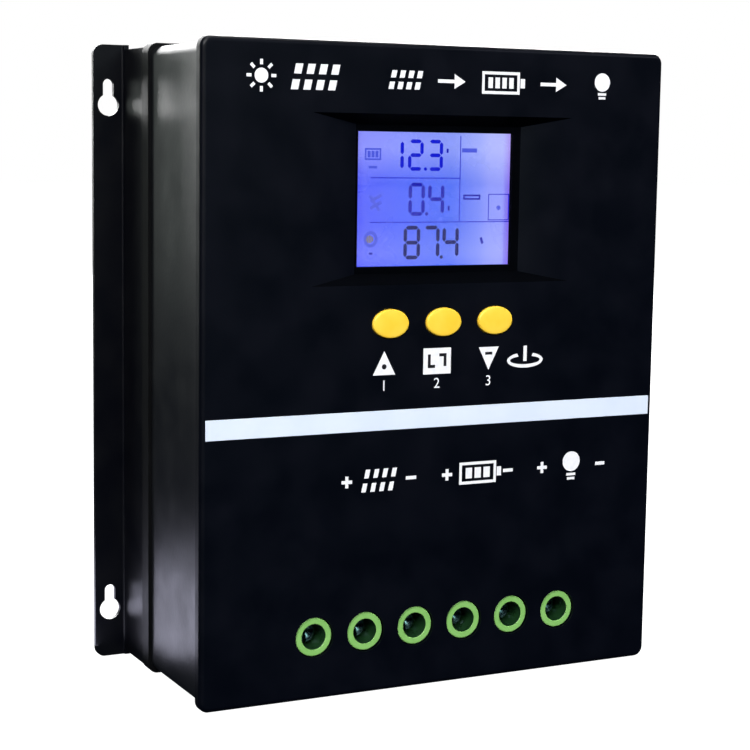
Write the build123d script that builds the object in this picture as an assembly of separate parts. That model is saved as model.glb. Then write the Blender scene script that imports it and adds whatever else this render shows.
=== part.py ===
"""Wall-mounted solar charge controller: every piece as its own solid, in millimetres.

The origin is the centre of the four keyholes on the wall plane. X runs to the right as seen from
the front, Y runs from the front of the case back into the wall, and Z runs up.
Depths are counted back from the face of the front panel, and heights up from its lower edge.
"""
from build123d import *
import os
from math import floor

# ---- Case: driving dimensions ----
case_width = 147.0            # across the sheet-metal cover
case_height = 187.0           # front panel and mounting flanges, lower to upper edge
sheet = 1.2                   # cover sheet
cover_corner_r = 3.0
cover_inset_z = 1.3           # cover ends this far inside the panel's lower and upper edges
panel_thickness = 3.7
panel_overhang = 1.2          # panel stands this far past each side of the cover
panel_corner_r = 3.0
panel_edge_r = 1.5            # rounding of the panel's front edge
plate_thickness = 5.3         # heat sink base plate, whose edge shows as a dark rim
plate_overhang_x = 1.0
plate_inset_z = 0.3
plate_corner_r = 3.0

# ---- Mounting brackets ----
bracket_sheet = 1.5
bracket_bend_r = 0.7          # inner radius of the bends
bracket_depth = 20.8          # from the base plate's back to the wall
flange_width = 9.4
flange_corner_r = 3.0
lip_width = 13.5
wall_end_gap = 1.4            # bracket wall stops this far below the flange's ends
keyhole_r = 3.25
keyhole_slot_w = 3.3
keyhole_rise = 7.7            # round centre to the top of the slot
keyhole_edge_x = 4.7          # keyhole centre outside the cover's side
keyhole_low_z = 14.8
keyhole_high_drop = 17.8      # upper keyhole centre below the upper edge

# ---- Heat sink fins ----
fin_thickness = 2.0
fin_pitch = 5.8
fin_wall_gap = 2.3            # fins stop this far short of the wall
fin_end_gap = 4.0             # fins stop this far inside the base plate's ends
fin_lip_gap = 2.0

# ---- Accent strip ----
strip_drop = 30.73            # strip's lower edge below the button row
strip_height = 5.75
strip_thickness = 0.55
strip_groove = 0.5
strip_end_inset = 1.5

# ---- Display ----
display_x = 0.4
display_drop = 43.9           # centre of the display below the upper edge
recess_width = 84.5
recess_height = 48.3
recess_depth = 4.0
recess_floor_w = 54.0
recess_floor_h = 42.4
window_w = 50.7
window_h = 38.4
window_shift = -0.9           # window's middle from the recess's middle
recess_wall = 1.5
lens_thickness = 1.0
lens_lap = 3.0                # lens past the window on every side
glass_thickness = 2.2
backlight_thickness = 2.7
lcd_frame_wall = 2.4
board_thickness = 1.6
display_board_w = 88.0
display_board_above = 27.5    # board above and below the display's centre
display_board_below = 46.0

# ---- Buttons ----
button_w = 11.65
button_h = 8.37
button_pitch = 17.23
button_x = 0.52
button_drop = 79.12           # button row below the upper edge
button_proud = 0.8
button_dome_r = 0.7
button_flange = 1.25
button_flange_t = 1.2
button_travel = 0.6
switch_side = 6.2
switch_height = 3.0
plunger_r = 1.7
plunger_length = 2.2
plunger_showing = 1.3

# ---- Terminal block ----
pole_count = 6
pole_pitch = 16.325
pole_row_x = 1.22
pole_z = 18.37
collar_r = 5.65
collar_recess = 0.6           # collar rim below the panel's face
well_r = 3.7
pole_below = 12.4             # housing below and above the screw's axis
pole_above = 13.6
pole_gap = 0.13
screw_head_depth = 7.1
screw_head_r = 3.4
screw_head_t = 3.0
screw_slot_w = 1.0
screw_slot_depth = 1.5
screw_r = 2.5
screw_travel = 4.8            # travel of the clamp cage between open and closed
shoulder_t = 1.2
cage_half_w = 5.6
cage_wall = 1.8
cage_nut_t = 3.2
cage_half_z = 4.8
wire_gap = 6.6
busbar_t = 1.8
busbar_half_w = 3.4
housing_back_t = 1.8

# ---- Main board and what stands on it ----
standoff_height = 8.1
board_side_gap = 6.3
board_low_z = 8.0
board_drop = 37.0
board_hole_inset = 8.0
standoff_r = 3.0
capacitor_r = 8.0
capacitor_height = 17.0
core_outer_r = 14.5
core_inner_r = 8.0
core_height = 11.0
winding_wire = 1.5
winding_turns = 18
mosfet_count = 8
mosfet_pitch = 14.0
mosfet_size = (10.0, 15.0, 4.5)
fuse_count = 4
fuse_size = (5.0, 12.0, 15.0)
fuse_pitch = 8.0

# ---- Screws ----
m3_r = 1.45
m3_head_r = 2.75
m3_head_t = 1.8

# ---- Clearances ----
fit = 0.1                     # pieces that stay together
slide_gap = 0.3               # pieces that move past each other
thread_gap = 0.05

# ---- Derived places ----
half_w = case_width / 2
inner_half_w = half_w - sheet
cover_front = panel_thickness
cover_inner = cover_front + sheet
lens_front = recess_depth + recess_wall
glass_front = lens_front + lens_thickness + fit
backlight_front = glass_front + glass_thickness
display_board_front = backlight_front + backlight_thickness
display_board_back = display_board_front + board_thickness
pole_front = cover_inner + 1.6
shoulder_front = screw_head_depth + screw_head_t + fit
cavity_front = shoulder_front + shoulder_t
nut_closed = cavity_front + 0.2
nut_front = nut_closed + screw_travel
busbar_front = nut_front + cage_nut_t + 0.9
busbar_back = busbar_front + busbar_t
cage_rear = busbar_back + wire_gap
cavity_back = cage_rear + cage_wall + 0.5
board_front = cavity_back + housing_back_t
board_back = board_front + board_thickness
plate_front = board_back + standoff_height
plate_back = plate_front + plate_thickness
wall_plane = plate_back + bracket_depth
keyhole_high_z = case_height - keyhole_high_drop
origin_z = (keyhole_low_z + keyhole_high_z) / 2
display_z = case_height - display_drop
window_x = display_x + window_shift
button_z = case_height - button_drop
strip_low_z = button_z - strip_drop
board_half_w = half_w - board_side_gap - sheet
board_top = case_height - board_drop
pole_xs = [pole_row_x + pole_pitch * (i - (pole_count - 1) / 2) for i in range(pole_count)]
button_xs = [button_x + button_pitch * i for i in (-1, 0, 1)]
lug_side = 9.0
case_screw_x = half_w - lip_width / 2
case_screw_zs = (cover_inset_z + sheet + lug_side / 2, case_height - cover_inset_z - sheet - lug_side / 2)


def face_plane(depth):
    """A plane facing the front at a depth behind the panel's face, drawn in X and height."""
    return Plane(origin=(0, depth - wall_plane, -origin_z), x_dir=(1, 0, 0), z_dir=(0, -1, 0))


def slab(outline, front, back):
    """An outline in X and height, made solid from its front depth to its back depth."""
    return extrude(face_plane(back) * outline, amount=back - front)


def rect(width, height, x=0.0, z=0.0, corner_r=0.0):
    """A rectangle centred at x and z, with round corners where corner_r is given."""
    if corner_r > 0:
        return Pos(x, z) * RectangleRounded(width, height, corner_r)
    return Pos(x, z) * Rectangle(width, height)


def span(x0, x1, z0, z1, corner_r=0.0):
    """A rectangle given by its sides."""
    return rect(x1 - x0, z1 - z0, (x0 + x1) / 2, (z0 + z1) / 2, corner_r)


def disc(radius, x=0.0, z=0.0):
    """A circle centred at x and z."""
    return Pos(x, z) * Circle(radius)


def oval(width, height, x=0.0, z=0.0):
    """An ellipse centred at x and z."""
    return Pos(x, z) * Ellipse(width / 2, height / 2)


def group(pieces):
    """Several separate solids of one kind, kept apart in one node."""
    solids = [solid for piece in pieces for solid in piece.solids()]
    return Compound(children=solids)


def pan_screw(x, z, seat, tip, head_side):
    """An M3 pan-head screw. head_side is -1 with its head in front of the seat, +1 behind it."""
    head = (seat, seat + m3_head_t) if head_side > 0 else (seat - m3_head_t, seat)
    body = slab(disc(m3_head_r, x, z), *head)
    shank = slab(disc(m3_r, x, z), min(seat, tip), max(seat, tip))
    top = head[1] if head_side > 0 else head[0]
    cross = rect(3.2, 0.7, x, z) + rect(0.7, 3.2, x, z)
    cut = slab(cross, min(top, top - head_side * 1.1), max(top, top - head_side * 1.1))
    return body + shank - cut


def screw_hole(x, z, front, back):
    """The hole that an M3 screw goes through or into."""
    return slab(disc(m3_r + thread_gap, x, z), front, back)


# ---- Rear: brackets and heat sink ----
def bracket(side):
    """One bent-sheet mounting bracket: lip on the base plate, wall, and flange on the wall plane."""
    t = bracket_sheet
    lip_inner = half_w - lip_width
    flange_outer = half_w + flange_width
    lip_y, wall_y = -bracket_depth, 0.0
    points = [(lip_inner, lip_y), (half_w, lip_y), (half_w, wall_y - t), (flange_outer, wall_y - t),
              (flange_outer, wall_y), (half_w - t, wall_y), (half_w - t, lip_y + t), (lip_inner, lip_y + t)]
    outline = make_face(Polyline(*[(side * x, y) for x, y in points], close=True))
    body = extrude(Plane.XY.offset(-origin_z) * outline, amount=case_height)
    outer_bends = [(half_w, lip_y), (half_w - t, wall_y)]
    inner_bends = [(half_w, wall_y - t), (half_w - t, lip_y + t)]
    body = fillet(upright_edges(body, outer_bends), bracket_bend_r + t)
    body = fillet(upright_edges(body, inner_bends), bracket_bend_r)
    flange_edges = [e for e in body.edges().filter_by(Axis.Y)
                    if abs(abs(e.center().X) - flange_outer) < 0.01]
    body = fillet(flange_edges, flange_corner_r)
    return body - bracket_cuts(side, lip_inner)


def upright_edges(body, places):
    """The upright edges of a body that stand at the given distances from the middle and depths."""
    return [e for e in body.edges().filter_by(Axis.Z)
            if any(abs(abs(e.center().X) - x) < 0.01 and abs(e.center().Y - y) < 0.01 for x, y in places)]


def bracket_cuts(side, lip_inner):
    """Keyholes, screw holes and the relief notches at the ends of a bracket's wall."""
    cuts = []
    for z in (keyhole_low_z, keyhole_high_z):
        x = side * (half_w + keyhole_edge_x)
        slot_top = keyhole_rise - keyhole_slot_w / 2
        slot = rect(keyhole_slot_w, slot_top, x, z + slot_top / 2)
        key = disc(keyhole_r, x, z) + slot + disc(keyhole_slot_w / 2, x, z + slot_top)
        cuts.append(slab(key, wall_plane - 2 * bracket_sheet, wall_plane + 1))
    for z in case_screw_zs + bracket_screw_zs():
        cuts.append(screw_hole(side * case_screw_x, z, plate_back - 1, plate_back + bracket_sheet + 1))
    wall_front = plate_back - 1
    wall_back = wall_plane - bracket_sheet - bracket_bend_r
    for low, high in ((-1, wall_end_gap), (case_height - wall_end_gap, case_height + 1)):
        x0, x1 = sorted((side * (lip_inner - 1), side * (half_w + 0.01)))
        cuts.append(slab(span(x0, x1, low, high), wall_front, wall_back))
    return cuts


def bracket_screw_zs():
    """Heights of the screws that hold a bracket to the base plate."""
    third = (case_screw_zs[1] - case_screw_zs[0]) / 3
    return (case_screw_zs[0] + third, case_screw_zs[1] - third)


def heat_sink():
    """Extruded aluminium base plate with upright fins on its back."""
    half = half_w + plate_overhang_x
    plate = slab(span(-half, half, plate_inset_z, case_height - plate_inset_z, plate_corner_r),
                 plate_front, plate_back)
    room = half_w - lip_width - fin_lip_gap - fin_thickness / 2
    steps = floor(2 * room / fin_pitch)
    low = plate_inset_z + fin_end_gap
    high = case_height - plate_inset_z - fin_end_gap
    for i in range(steps + 1):
        x = fin_pitch * (i - steps / 2)
        fin = slab(span(x - fin_thickness / 2, x + fin_thickness / 2, low, high),
                   plate_back, wall_plane - fin_wall_gap)
        plate += fin
    for side in (-1, 1):
        for z in case_screw_zs:
            plate -= screw_hole(side * case_screw_x, z, plate_front - 1, plate_back + 1)
        for z in bracket_screw_zs():
            plate -= screw_hole(side * case_screw_x, z, plate_front + 1, plate_back + 1)
    for x, z in standoff_places():
        plate -= screw_hole(x, z, plate_front - 1, plate_front + 3)
    for x in clamp_screw_xs():
        plate -= screw_hole(x, clamp_z(), plate_front - 1, plate_front + 3.6)
    return plate


def case_screws():
    """Corner screws through bracket, base plate and cover lug."""
    seat = plate_back + bracket_sheet
    return group([pan_screw(s * case_screw_x, z, seat, plate_front - 2.2, 1)
                  for s in (-1, 1) for z in case_screw_zs])


def bracket_screws():
    """Screws that hold the brackets to the base plate."""
    seat = plate_back + bracket_sheet
    return group([pan_screw(s * case_screw_x, z, seat, plate_front + 1.3, 1)
                  for s in (-1, 1) for z in bracket_screw_zs()])


# ---- Shell: cover, panel and strip ----
def panel_screw_places():
    """Places of the screws that hold the front panel to the cover, from inside."""
    inset = 9.0
    return [(s * (half_w - inset), z) for s in (-1, 1) for z in (inset + 2, case_height - inset - 2)]


def boss_outline(gap=0.0):
    """Outline of the block behind the panel that holds the display's recess."""
    margin = recess_wall / recess_depth
    width = recess_width - (recess_width - recess_floor_w) * (1 - margin) + 2.0
    return rect(width + 2 * gap, recess_height - 1.4 + 2 * gap, display_x, display_z)


def front_cover():
    """Sheet-metal cover: a front wall, four sides, and four lugs for the corner screws."""
    low, high = cover_inset_z, case_height - cover_inset_z
    outer = slab(span(-half_w, half_w, low, high, cover_corner_r), cover_front, plate_front)
    inner = slab(span(-inner_half_w, inner_half_w, low + sheet, high - sheet, cover_corner_r - sheet),
                 cover_inner, plate_front + 1)
    shell = outer - inner
    for s in (-1, 1):
        for z in case_screw_zs:
            x = s * (inner_half_w - lug_side / 2)
            lug = slab(rect(lug_side + 0.4, lug_side + 0.4, x + s * 0.2, z), plate_front - sheet, plate_front)
            lug &= slab(span(-half_w + 0.5, half_w - 0.5, low + 0.5, high - 0.5, cover_corner_r - 0.5),
                        plate_front - sheet, plate_front)
            shell += lug
            shell -= screw_hole(s * case_screw_x, z, plate_front - 2 * sheet, plate_front + 1)
    shell -= slab(boss_outline(0.5), cover_front - 1, cover_inner + 1)
    for x in button_xs:
        shell -= slab(oval(button_w + 4 * slide_gap, button_h + 4 * slide_gap, x, button_z),
                      cover_front - 1, cover_inner + 1)
    for x in pole_xs:
        shell -= slab(disc(collar_r + slide_gap + fit, x, pole_z), cover_front - 1, cover_inner + 1)
    for x, z in panel_screw_places():
        shell -= screw_hole(x, z, cover_front - 1, cover_inner + 1)
    return shell - wire_cutout()


def wire_cutout():
    """The opening in the cover's lower wall that the cables come up through."""
    half_pole = pole_pitch / 2
    return slab(span(pole_xs[0] - half_pole, pole_xs[-1] + half_pole, -1, cover_inset_z + 2 * sheet),
                busbar_back - 3.0, cavity_back + 1.0)


def front_panel():
    """Moulded front panel with the display's recess, button holes and terminal holes."""
    half = half_w + panel_overhang
    panel = slab(span(-half, half, 0, case_height, panel_corner_r), 0, panel_thickness)
    rim = panel.faces().sort_by(Axis.Y)[0].edges()
    panel = fillet(rim, panel_edge_r)
    panel += slab(boss_outline(), panel_thickness - fit, lens_front)
    panel -= recess_cut()
    panel -= slab(rect(window_w, window_h, window_x, display_z), 0, lens_front + 1)
    for x in button_xs:
        panel -= slab(oval(button_w + 2 * slide_gap, button_h + 2 * slide_gap, x, button_z),
                      -1, panel_thickness + 1)
    for x in pole_xs:
        panel -= slab(disc(collar_r + slide_gap, x, pole_z), -1, panel_thickness + 1)
    for x, z in panel_screw_places():
        panel -= screw_hole(x, z, panel_thickness - 2.4, panel_thickness + 1)
    return panel - slab(strip_outline(fit), -1, strip_groove)


def recess_cut():
    """The tapered hollow in front of the display: wide slopes left and right, steep ones above and below."""
    mouth = face_plane(0) * rect(recess_width, recess_height, display_x, display_z)
    floor_face = face_plane(recess_depth) * rect(recess_floor_w, recess_floor_h, display_x, display_z)
    return loft([mouth.faces()[0], floor_face.faces()[0]])


def strip_outline(gap=0.0):
    """Outline of the pale strip across the panel."""
    half = half_w + panel_overhang - strip_end_inset
    return span(-half - gap, half + gap, strip_low_z - gap, strip_low_z + strip_height + gap)


def accent_strip():
    """The pale strip, set in its groove and just proud of the panel."""
    return slab(strip_outline(), strip_groove - strip_thickness, strip_groove)


def panel_screws():
    """Screws that hold the panel, with their heads inside the cover."""
    return group([pan_screw(x, z, cover_inner, panel_thickness - 2.0, 1) for x, z in panel_screw_places()])


# ---- Display ----
def lcd_outline(grow):
    """The window's outline, larger by grow on every side."""
    return rect(window_w + 2 * grow, window_h + 2 * grow, window_x, display_z)


def display_lens():
    """Clear window behind the recess."""
    return slab(lcd_outline(lens_lap), lens_front, lens_front + lens_thickness)


def lcd_glass():
    """Liquid crystal cell."""
    return slab(lcd_outline(lens_lap), glass_front, backlight_front)


def lcd_backlight():
    """Edge-lit light guide behind the liquid crystal cell."""
    return slab(lcd_outline(lens_lap), backlight_front, display_board_front)


def lcd_frame():
    """Frame that holds the cell and the light guide on the display board."""
    ring = lcd_outline(lens_lap + fit + lcd_frame_wall) - lcd_outline(lens_lap + fit)
    return slab(ring, glass_front, display_board_front)


def display_board_places():
    """Places of the display board's four spacers."""
    inset = 3.5
    low = display_z - display_board_below + inset
    high = display_z + display_board_above - inset
    return [(display_x + s * (display_board_w / 2 - inset), z) for s in (-1, 1) for z in (low, high)]


def display_board():
    """Circuit board that carries the display and the button switches."""
    left = display_x - display_board_w / 2
    low, high = display_z - display_board_below, display_z + display_board_above
    board = slab(span(left, left + display_board_w, low, high, 1.0), display_board_front, display_board_back)
    for x, z in display_board_places():
        board -= screw_hole(x, z, display_board_front - 1, display_board_back + 1)
    return board


def display_standoffs():
    """Threaded spacers between the cover's front wall and the display board."""
    return group([slab(disc(2.5, x, z) - disc(m3_r + thread_gap, x, z), cover_inner, display_board_front)
                  for x, z in display_board_places()])


def display_screws():
    """Screws that hold the display board, with their heads behind it."""
    return group([pan_screw(x, z, display_board_back, cover_inner + 1.0, 1)
                  for x, z in display_board_places()])


# ---- Buttons ----
def button(x):
    """One oval push button: a domed cap, a flange that keeps it in, and a stem."""
    flange_front = cover_inner + 0.2
    flange_back = flange_front + button_flange_t
    cap = slab(oval(button_w, button_h, x, button_z), -button_proud, flange_front)
    cap = fillet(cap.faces().sort_by(Axis.Y)[0].edges(), button_dome_r)
    flange = slab(oval(button_w + 2 * button_flange, button_h + 2 * button_flange, x, button_z),
                  flange_front, flange_back)
    stem = slab(disc(2.0, x, button_z), flange_back, plunger_front())
    return cap + flange + stem


def plunger_front():
    """Depth of the switch plungers' tops."""
    return display_board_front - switch_height - plunger_showing


def switch_plunger(x):
    """The plunger of one push switch, which its button presses on."""
    return slab(disc(plunger_r, x, button_z), plunger_front(), plunger_front() + plunger_length)


def tact_switches():
    """Bodies of the three push switches on the display board."""
    front = display_board_front - switch_height
    well_back = plunger_front() + plunger_length + button_travel + 0.3
    bodies = []
    for x in button_xs:
        body = slab(rect(switch_side, switch_side, x, button_z), front, display_board_front)
        bodies.append(body - slab(disc(plunger_r + slide_gap, x, button_z), front - 1, well_back))
    return group(bodies)


# ---- Ribbon cable between the boards ----
header_z = display_z - display_board_below + 8.0
header_step = 16.0
header_size = (15.0, 6.0, 6.0)
ribbon_w = 12.7
ribbon_t = 0.9
ribbon_bend_r = 2.5


def ribbon_headers():
    """The two box headers, one on each board."""
    width, height, depth = header_size
    front = slab(rect(width, height, display_x, header_z), display_board_back, display_board_back + depth)
    back = slab(rect(width, height, display_x, header_z + header_step), board_front - depth, board_front)
    return group([front, back])


def ribbon_cable():
    """Flat ribbon held between the two headers, in straight runs joined by arcs."""
    start = display_board_back + header_size[2]
    end = board_front - header_size[2]
    middle = (start + end) / 2
    corners = [(start, header_z), (middle, header_z), (middle, header_z + header_step),
               (end, header_z + header_step)]
    path = FilletPolyline(*[(display_x, d - wall_plane, z - origin_z) for d, z in corners],
                          radius=min(ribbon_bend_r, 0.45 * (end - start)))
    section = Plane(origin=path @ 0, x_dir=(1, 0, 0), z_dir=path % 0) * Rectangle(ribbon_w, ribbon_t)
    return sweep(section, path)


# ---- Main board ----
def standoff_places():
    """Places of the main board's six spacers."""
    x = board_half_w - board_hole_inset
    low, high = pole_z + pole_above + board_hole_inset, board_top - board_hole_inset
    return [(s * x, z) for s in (-1, 1) for z in (low, (low + high) / 2, high)]


def main_board():
    """Power circuit board."""
    board = slab(span(-board_half_w, board_half_w, board_low_z, board_top, 1.5), board_front, board_back)
    for x, z in standoff_places():
        board -= screw_hole(x, z, board_front - 1, board_back + 1)
    return board


def board_standoffs():
    """Spacers between the main board and the base plate."""
    return group([slab(disc(standoff_r, x, z) - disc(m3_r + thread_gap, x, z), board_back, plate_front)
                  for x, z in standoff_places()])


def board_screws():
    """Screws through the main board and its spacers into the base plate."""
    return group([pan_screw(x, z, board_front, plate_front + 2.5, -1) for x, z in standoff_places()])


def mosfet_xs():
    """Places of the power transistors along their row."""
    return [mosfet_pitch * (i - (mosfet_count - 1) / 2) for i in range(mosfet_count)]


pad_thickness = 0.5
mosfet_gap = 3.0              # transistors above the main board's upper edge
clamp_bar_t = 2.0
clamp_bar_h = 8.0
lead_t = 0.8
lead_pitch = 2.54


def mosfets():
    """Power transistors lying on the base plate, with leads bent up to the board's back."""
    width, height, thick = mosfet_size
    back = plate_front - pad_thickness
    low = board_top + mosfet_gap
    pieces = []
    for x in mosfet_xs():
        piece = slab(span(x - width / 2, x + width / 2, low, low + height), back - thick, back)
        for i in (-1, 0, 1):
            lead_x = x + i * lead_pitch
            foot = low - mosfet_gap - 3.4
            sides = (lead_x - lead_t / 2, lead_x + lead_t / 2)
            piece += slab(span(*sides, foot, low), back - thick / 2 - lead_t, back - thick / 2)
            piece += slab(span(*sides, foot, foot + lead_t), board_back, back - thick / 2)
        pieces.append(piece)
    return group(pieces)


def clamp_z():
    """Height of the clamp bar's middle."""
    return board_top + mosfet_gap + mosfet_size[1] / 2


def clamp_screw_xs():
    """Places of the clamp bar's screws, between transistors."""
    reach = (mosfet_count // 2 - 1) * mosfet_pitch
    return (-reach, 0.0, reach)


def mosfet_row_half():
    """Half the length of the transistor row."""
    return mosfet_pitch * (mosfet_count - 1) / 2 + mosfet_size[0] / 2


def thermal_pad():
    """Insulating pad between the transistors and the base plate."""
    low = board_top + mosfet_gap - 1
    half = mosfet_row_half() + 1
    pad = slab(span(-half, half, low, low + mosfet_size[1] + 2), plate_front - pad_thickness, plate_front)
    for x in clamp_screw_xs():
        pad -= screw_hole(x, clamp_z(), plate_front - 2, plate_front + 1)
    return pad


def clamp_bar():
    """Steel bar that presses the transistors on the base plate."""
    back = plate_front - pad_thickness - mosfet_size[2]
    bar = slab(rect(2 * mosfet_row_half(), clamp_bar_h, 0, clamp_z()), back - clamp_bar_t, back)
    for x in clamp_screw_xs():
        bar -= screw_hole(x, clamp_z(), back - clamp_bar_t - 1, back + 1)
    return bar


def clamp_screws():
    """Screws through the clamp bar into the base plate."""
    seat = plate_front - pad_thickness - mosfet_size[2] - clamp_bar_t
    return group([pan_screw(x, clamp_z(), seat, plate_front + 3.2, -1) for x in clamp_screw_xs()])


def temperature_sensor():
    """Small sensor on the base plate above the transistors."""
    low = board_top + mosfet_gap + mosfet_size[1] + 3
    return slab(rect(8, 6, 0, low + 3, 1.0), plate_front - 3.0, plate_front)


coil_gap = 0.2                # windings off the core and off the board
core_front = board_front - coil_gap - winding_wire - coil_gap - core_height
coil_xs = (-33.0, 33.0)
coil_z = 68.0


def inductor_cores():
    """Toroidal cores of the two power inductors."""
    ring = disc(core_outer_r) - disc(core_inner_r)
    return group([slab(Pos(x, coil_z) * ring, core_front, core_front + core_height) for x in coil_xs])


def inductor_windings():
    """Turns of heavy wire round each core, each turn a closed loop."""
    inner = core_inner_r - coil_gap - winding_wire
    outer = core_outer_r + coil_gap + winding_wire
    half = core_height / 2 + coil_gap
    middle = core_front + core_height / 2 - wall_plane
    width = outer - inner
    ring = Rectangle(width, 2 * (half + winding_wire))
    ring -= Rectangle(width - 2 * winding_wire, 2 * half)
    turn = extrude(Plane.XY * Pos((inner + outer) / 2, 0) * ring, amount=winding_wire / 2, both=True)
    turns = []
    for x in coil_xs:
        for i in range(winding_turns):
            turns.append(Pos(x, middle, coil_z - origin_z) * Rot(0, 360 / winding_turns * i, 0) * turn)
    return group(turns)


def capacitors():
    """Four electrolytic capacitors, with their rounded ends to the front."""
    pieces = []
    for x in (-38.0, -20.0, 20.0, 38.0):
        can = slab(disc(capacitor_r, x, 95.0), board_front - capacitor_height, board_front)
        pieces.append(fillet(can.faces().sort_by(Axis.Y)[0].edges(), 1.0))
    return group(pieces)


def blade_fuses():
    """Blade fuses on the output side of the board."""
    width, height, depth = fuse_size
    pieces = []
    for i in range(fuse_count):
        x = pole_xs[0] + i * fuse_pitch
        pieces.append(slab(rect(width, height, x, 42.0, 1.0), board_front - depth, board_front))
    return group(pieces)


def current_shunts():
    """Two current shunts: stout wire bridges standing on the board."""
    pieces = []
    for x in (24.0, 34.0):
        bridge = slab(rect(1.6, 12, x, 42.0), board_front - 7, board_front)
        pieces.append(bridge - slab(rect(2.6, 8.8, x, 42.0), board_front - 5.4, board_front + 1))
    return group(pieces)


def controller_chip():
    """Flat processor package on the main board."""
    return slab(rect(10, 10, 0, 42.0, 0.4), board_front - 1.6, board_front)


def beeper():
    """Round sounder on the main board."""
    can = slab(disc(6.0, 0, 68.0), board_front - 9.5, board_front)
    return can - slab(disc(1.2, 0, 68.0), board_front - 10.5, board_front - 7.5)


# ---- Terminals ----
def terminal_pole(x):
    """Housing of one pole: collar, screw well, clamp cavity, cable entry and busbar slot."""
    half = (pole_pitch - pole_gap) / 2
    body = slab(span(x - half, x + half, pole_z - pole_below, pole_z + pole_above), pole_front, board_front)
    body += slab(disc(collar_r, x, pole_z), collar_recess, pole_front)
    rim = [e for e in body.edges().filter_by(GeomType.CIRCLE)
           if abs(e.center().Y - (collar_recess - wall_plane)) < 0.01]
    body = fillet(rim, 0.4)
    body -= slab(disc(well_r, x, pole_z), collar_recess - 1, shoulder_front)
    body -= slab(disc(screw_r + 0.25, x, pole_z), shoulder_front - 1, cavity_front + 1)
    cavity_x, cavity_z = cage_half_w + slide_gap + fit, cage_half_z + slide_gap + fit
    body -= slab(rect(2 * cavity_x, 2 * cavity_z, x, pole_z), cavity_front, cavity_back)
    entry = cage_half_w - cage_wall + 0.6
    body -= slab(span(x - entry, x + entry, pole_z - pole_below - 1, pole_z - cavity_z + 1),
                 busbar_back - 0.3, cage_rear + 0.7)
    slot = busbar_half_w + fit
    slot_top = pole_z + cavity_z + busbar_rise + busbar_t + fit
    body -= slab(span(x - slot, x + slot, pole_z, slot_top), busbar_front - fit, busbar_back + fit)
    body -= slab(span(x - slot, x + slot, slot_top - busbar_t - 2 * fit, slot_top),
                 busbar_front - fit, board_front + 1)
    return body


busbar_rise = 2.6             # busbar's upright leg above the clamp cavity


def terminal_busbars():
    """Bent copper bars from each clamp back to the main board."""
    bars = []
    for x in pole_xs:
        top = pole_z + cage_half_z + slide_gap + fit + busbar_rise + busbar_t
        bar = slab(span(x - busbar_half_w, x + busbar_half_w, pole_z - cage_half_z - slide_gap, top),
                   busbar_front, busbar_back)
        bar += slab(span(x - busbar_half_w, x + busbar_half_w, top - busbar_t, top),
                    busbar_front, board_front)
        bars.append(bar)
    return group(bars)


def terminal_screw(x):
    """Slotted clamp screw, turning in place behind its collar."""
    head_back = screw_head_depth + screw_head_t
    screw = slab(disc(screw_head_r, x, pole_z), screw_head_depth, head_back)
    screw = chamfer(screw.faces().sort_by(Axis.Y)[0].edges(), 0.3)
    screw += slab(disc(screw_r, x, pole_z), head_back, busbar_front - fit)
    slot = rect(screw_slot_w, 2 * screw_head_r + 1, x, pole_z)
    slot += rect(1.6 * screw_head_r, screw_slot_w, x, pole_z)
    return screw - slab(slot, screw_head_depth - 1, screw_head_depth + screw_slot_depth)


def clamp_cage(x):
    """Box clamp that the screw draws forward, with the cable inside it."""
    inner = cage_half_w - cage_wall
    outline_back = cage_rear + cage_wall
    cage = slab(rect(2 * cage_half_w, 2 * cage_half_z, x, pole_z), nut_front, outline_back)
    cage -= slab(rect(2 * inner, 2 * cage_half_z + 2, x, pole_z), nut_front + cage_nut_t, cage_rear)
    return cage - slab(disc(screw_r + thread_gap, x, pole_z), nut_front - 1, nut_front + cage_nut_t + 1)


def all_nodes():
    """Every node's name with its shape."""
    nodes = {
        "left_bracket": bracket(-1), "right_bracket": bracket(1), "heat_sink": heat_sink(),
        "case_screws": case_screws(), "bracket_screws": bracket_screws(),
        "front_cover": front_cover(), "front_panel": front_panel(), "accent_strip": accent_strip(),
        "panel_screws": panel_screws(), "display_lens": display_lens(), "lcd_glass": lcd_glass(),
        "lcd_backlight": lcd_backlight(), "lcd_frame": lcd_frame(), "display_board": display_board(),
        "display_standoffs": display_standoffs(), "display_screws": display_screws(),
        "tact_switches": tact_switches(), "ribbon_headers": ribbon_headers(), "ribbon_cable": ribbon_cable(),
        "main_board": main_board(), "board_standoffs": board_standoffs(), "board_screws": board_screws(),
        "mosfets": mosfets(), "thermal_pad": thermal_pad(), "clamp_bar": clamp_bar(),
        "clamp_screws": clamp_screws(), "temperature_sensor": temperature_sensor(),
        "inductor_cores": inductor_cores(), "inductor_windings": inductor_windings(),
        "capacitors": capacitors(), "blade_fuses": blade_fuses(), "current_shunts": current_shunts(),
        "controller_chip": controller_chip(), "beeper": beeper(), "terminal_busbars": terminal_busbars(),
    }
    for name, x in zip(("up", "menu", "down"), button_xs):
        nodes[f"button_{name}"] = button(x)
        nodes[f"plunger_{name}"] = switch_plunger(x)
    for i, x in enumerate(pole_xs, start=1):
        nodes[f"terminal_pole_{i}"] = terminal_pole(x)
        nodes[f"terminal_screw_{i}"] = terminal_screw(x)
        nodes[f"clamp_cage_{i}"] = clamp_cage(x)
    return nodes


os.makedirs("parts", exist_ok=True)
for node_name, shape in all_nodes().items():
    export_step(shape, f"parts/{node_name}.step")
print(f"wall plane {wall_plane:.2f}, origin height {origin_z:.2f}, board front {board_front:.2f}")
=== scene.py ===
"""Looks of a wall-mounted solar charge controller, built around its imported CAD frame.

Each sub-assembly is a class that builds its pieces in metres, in the frame's own axes:
X to the right as seen from the front, Y back into the wall, Z up.
"""
import logging
import math
from dataclasses import dataclass, field
from enum import Enum

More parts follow.
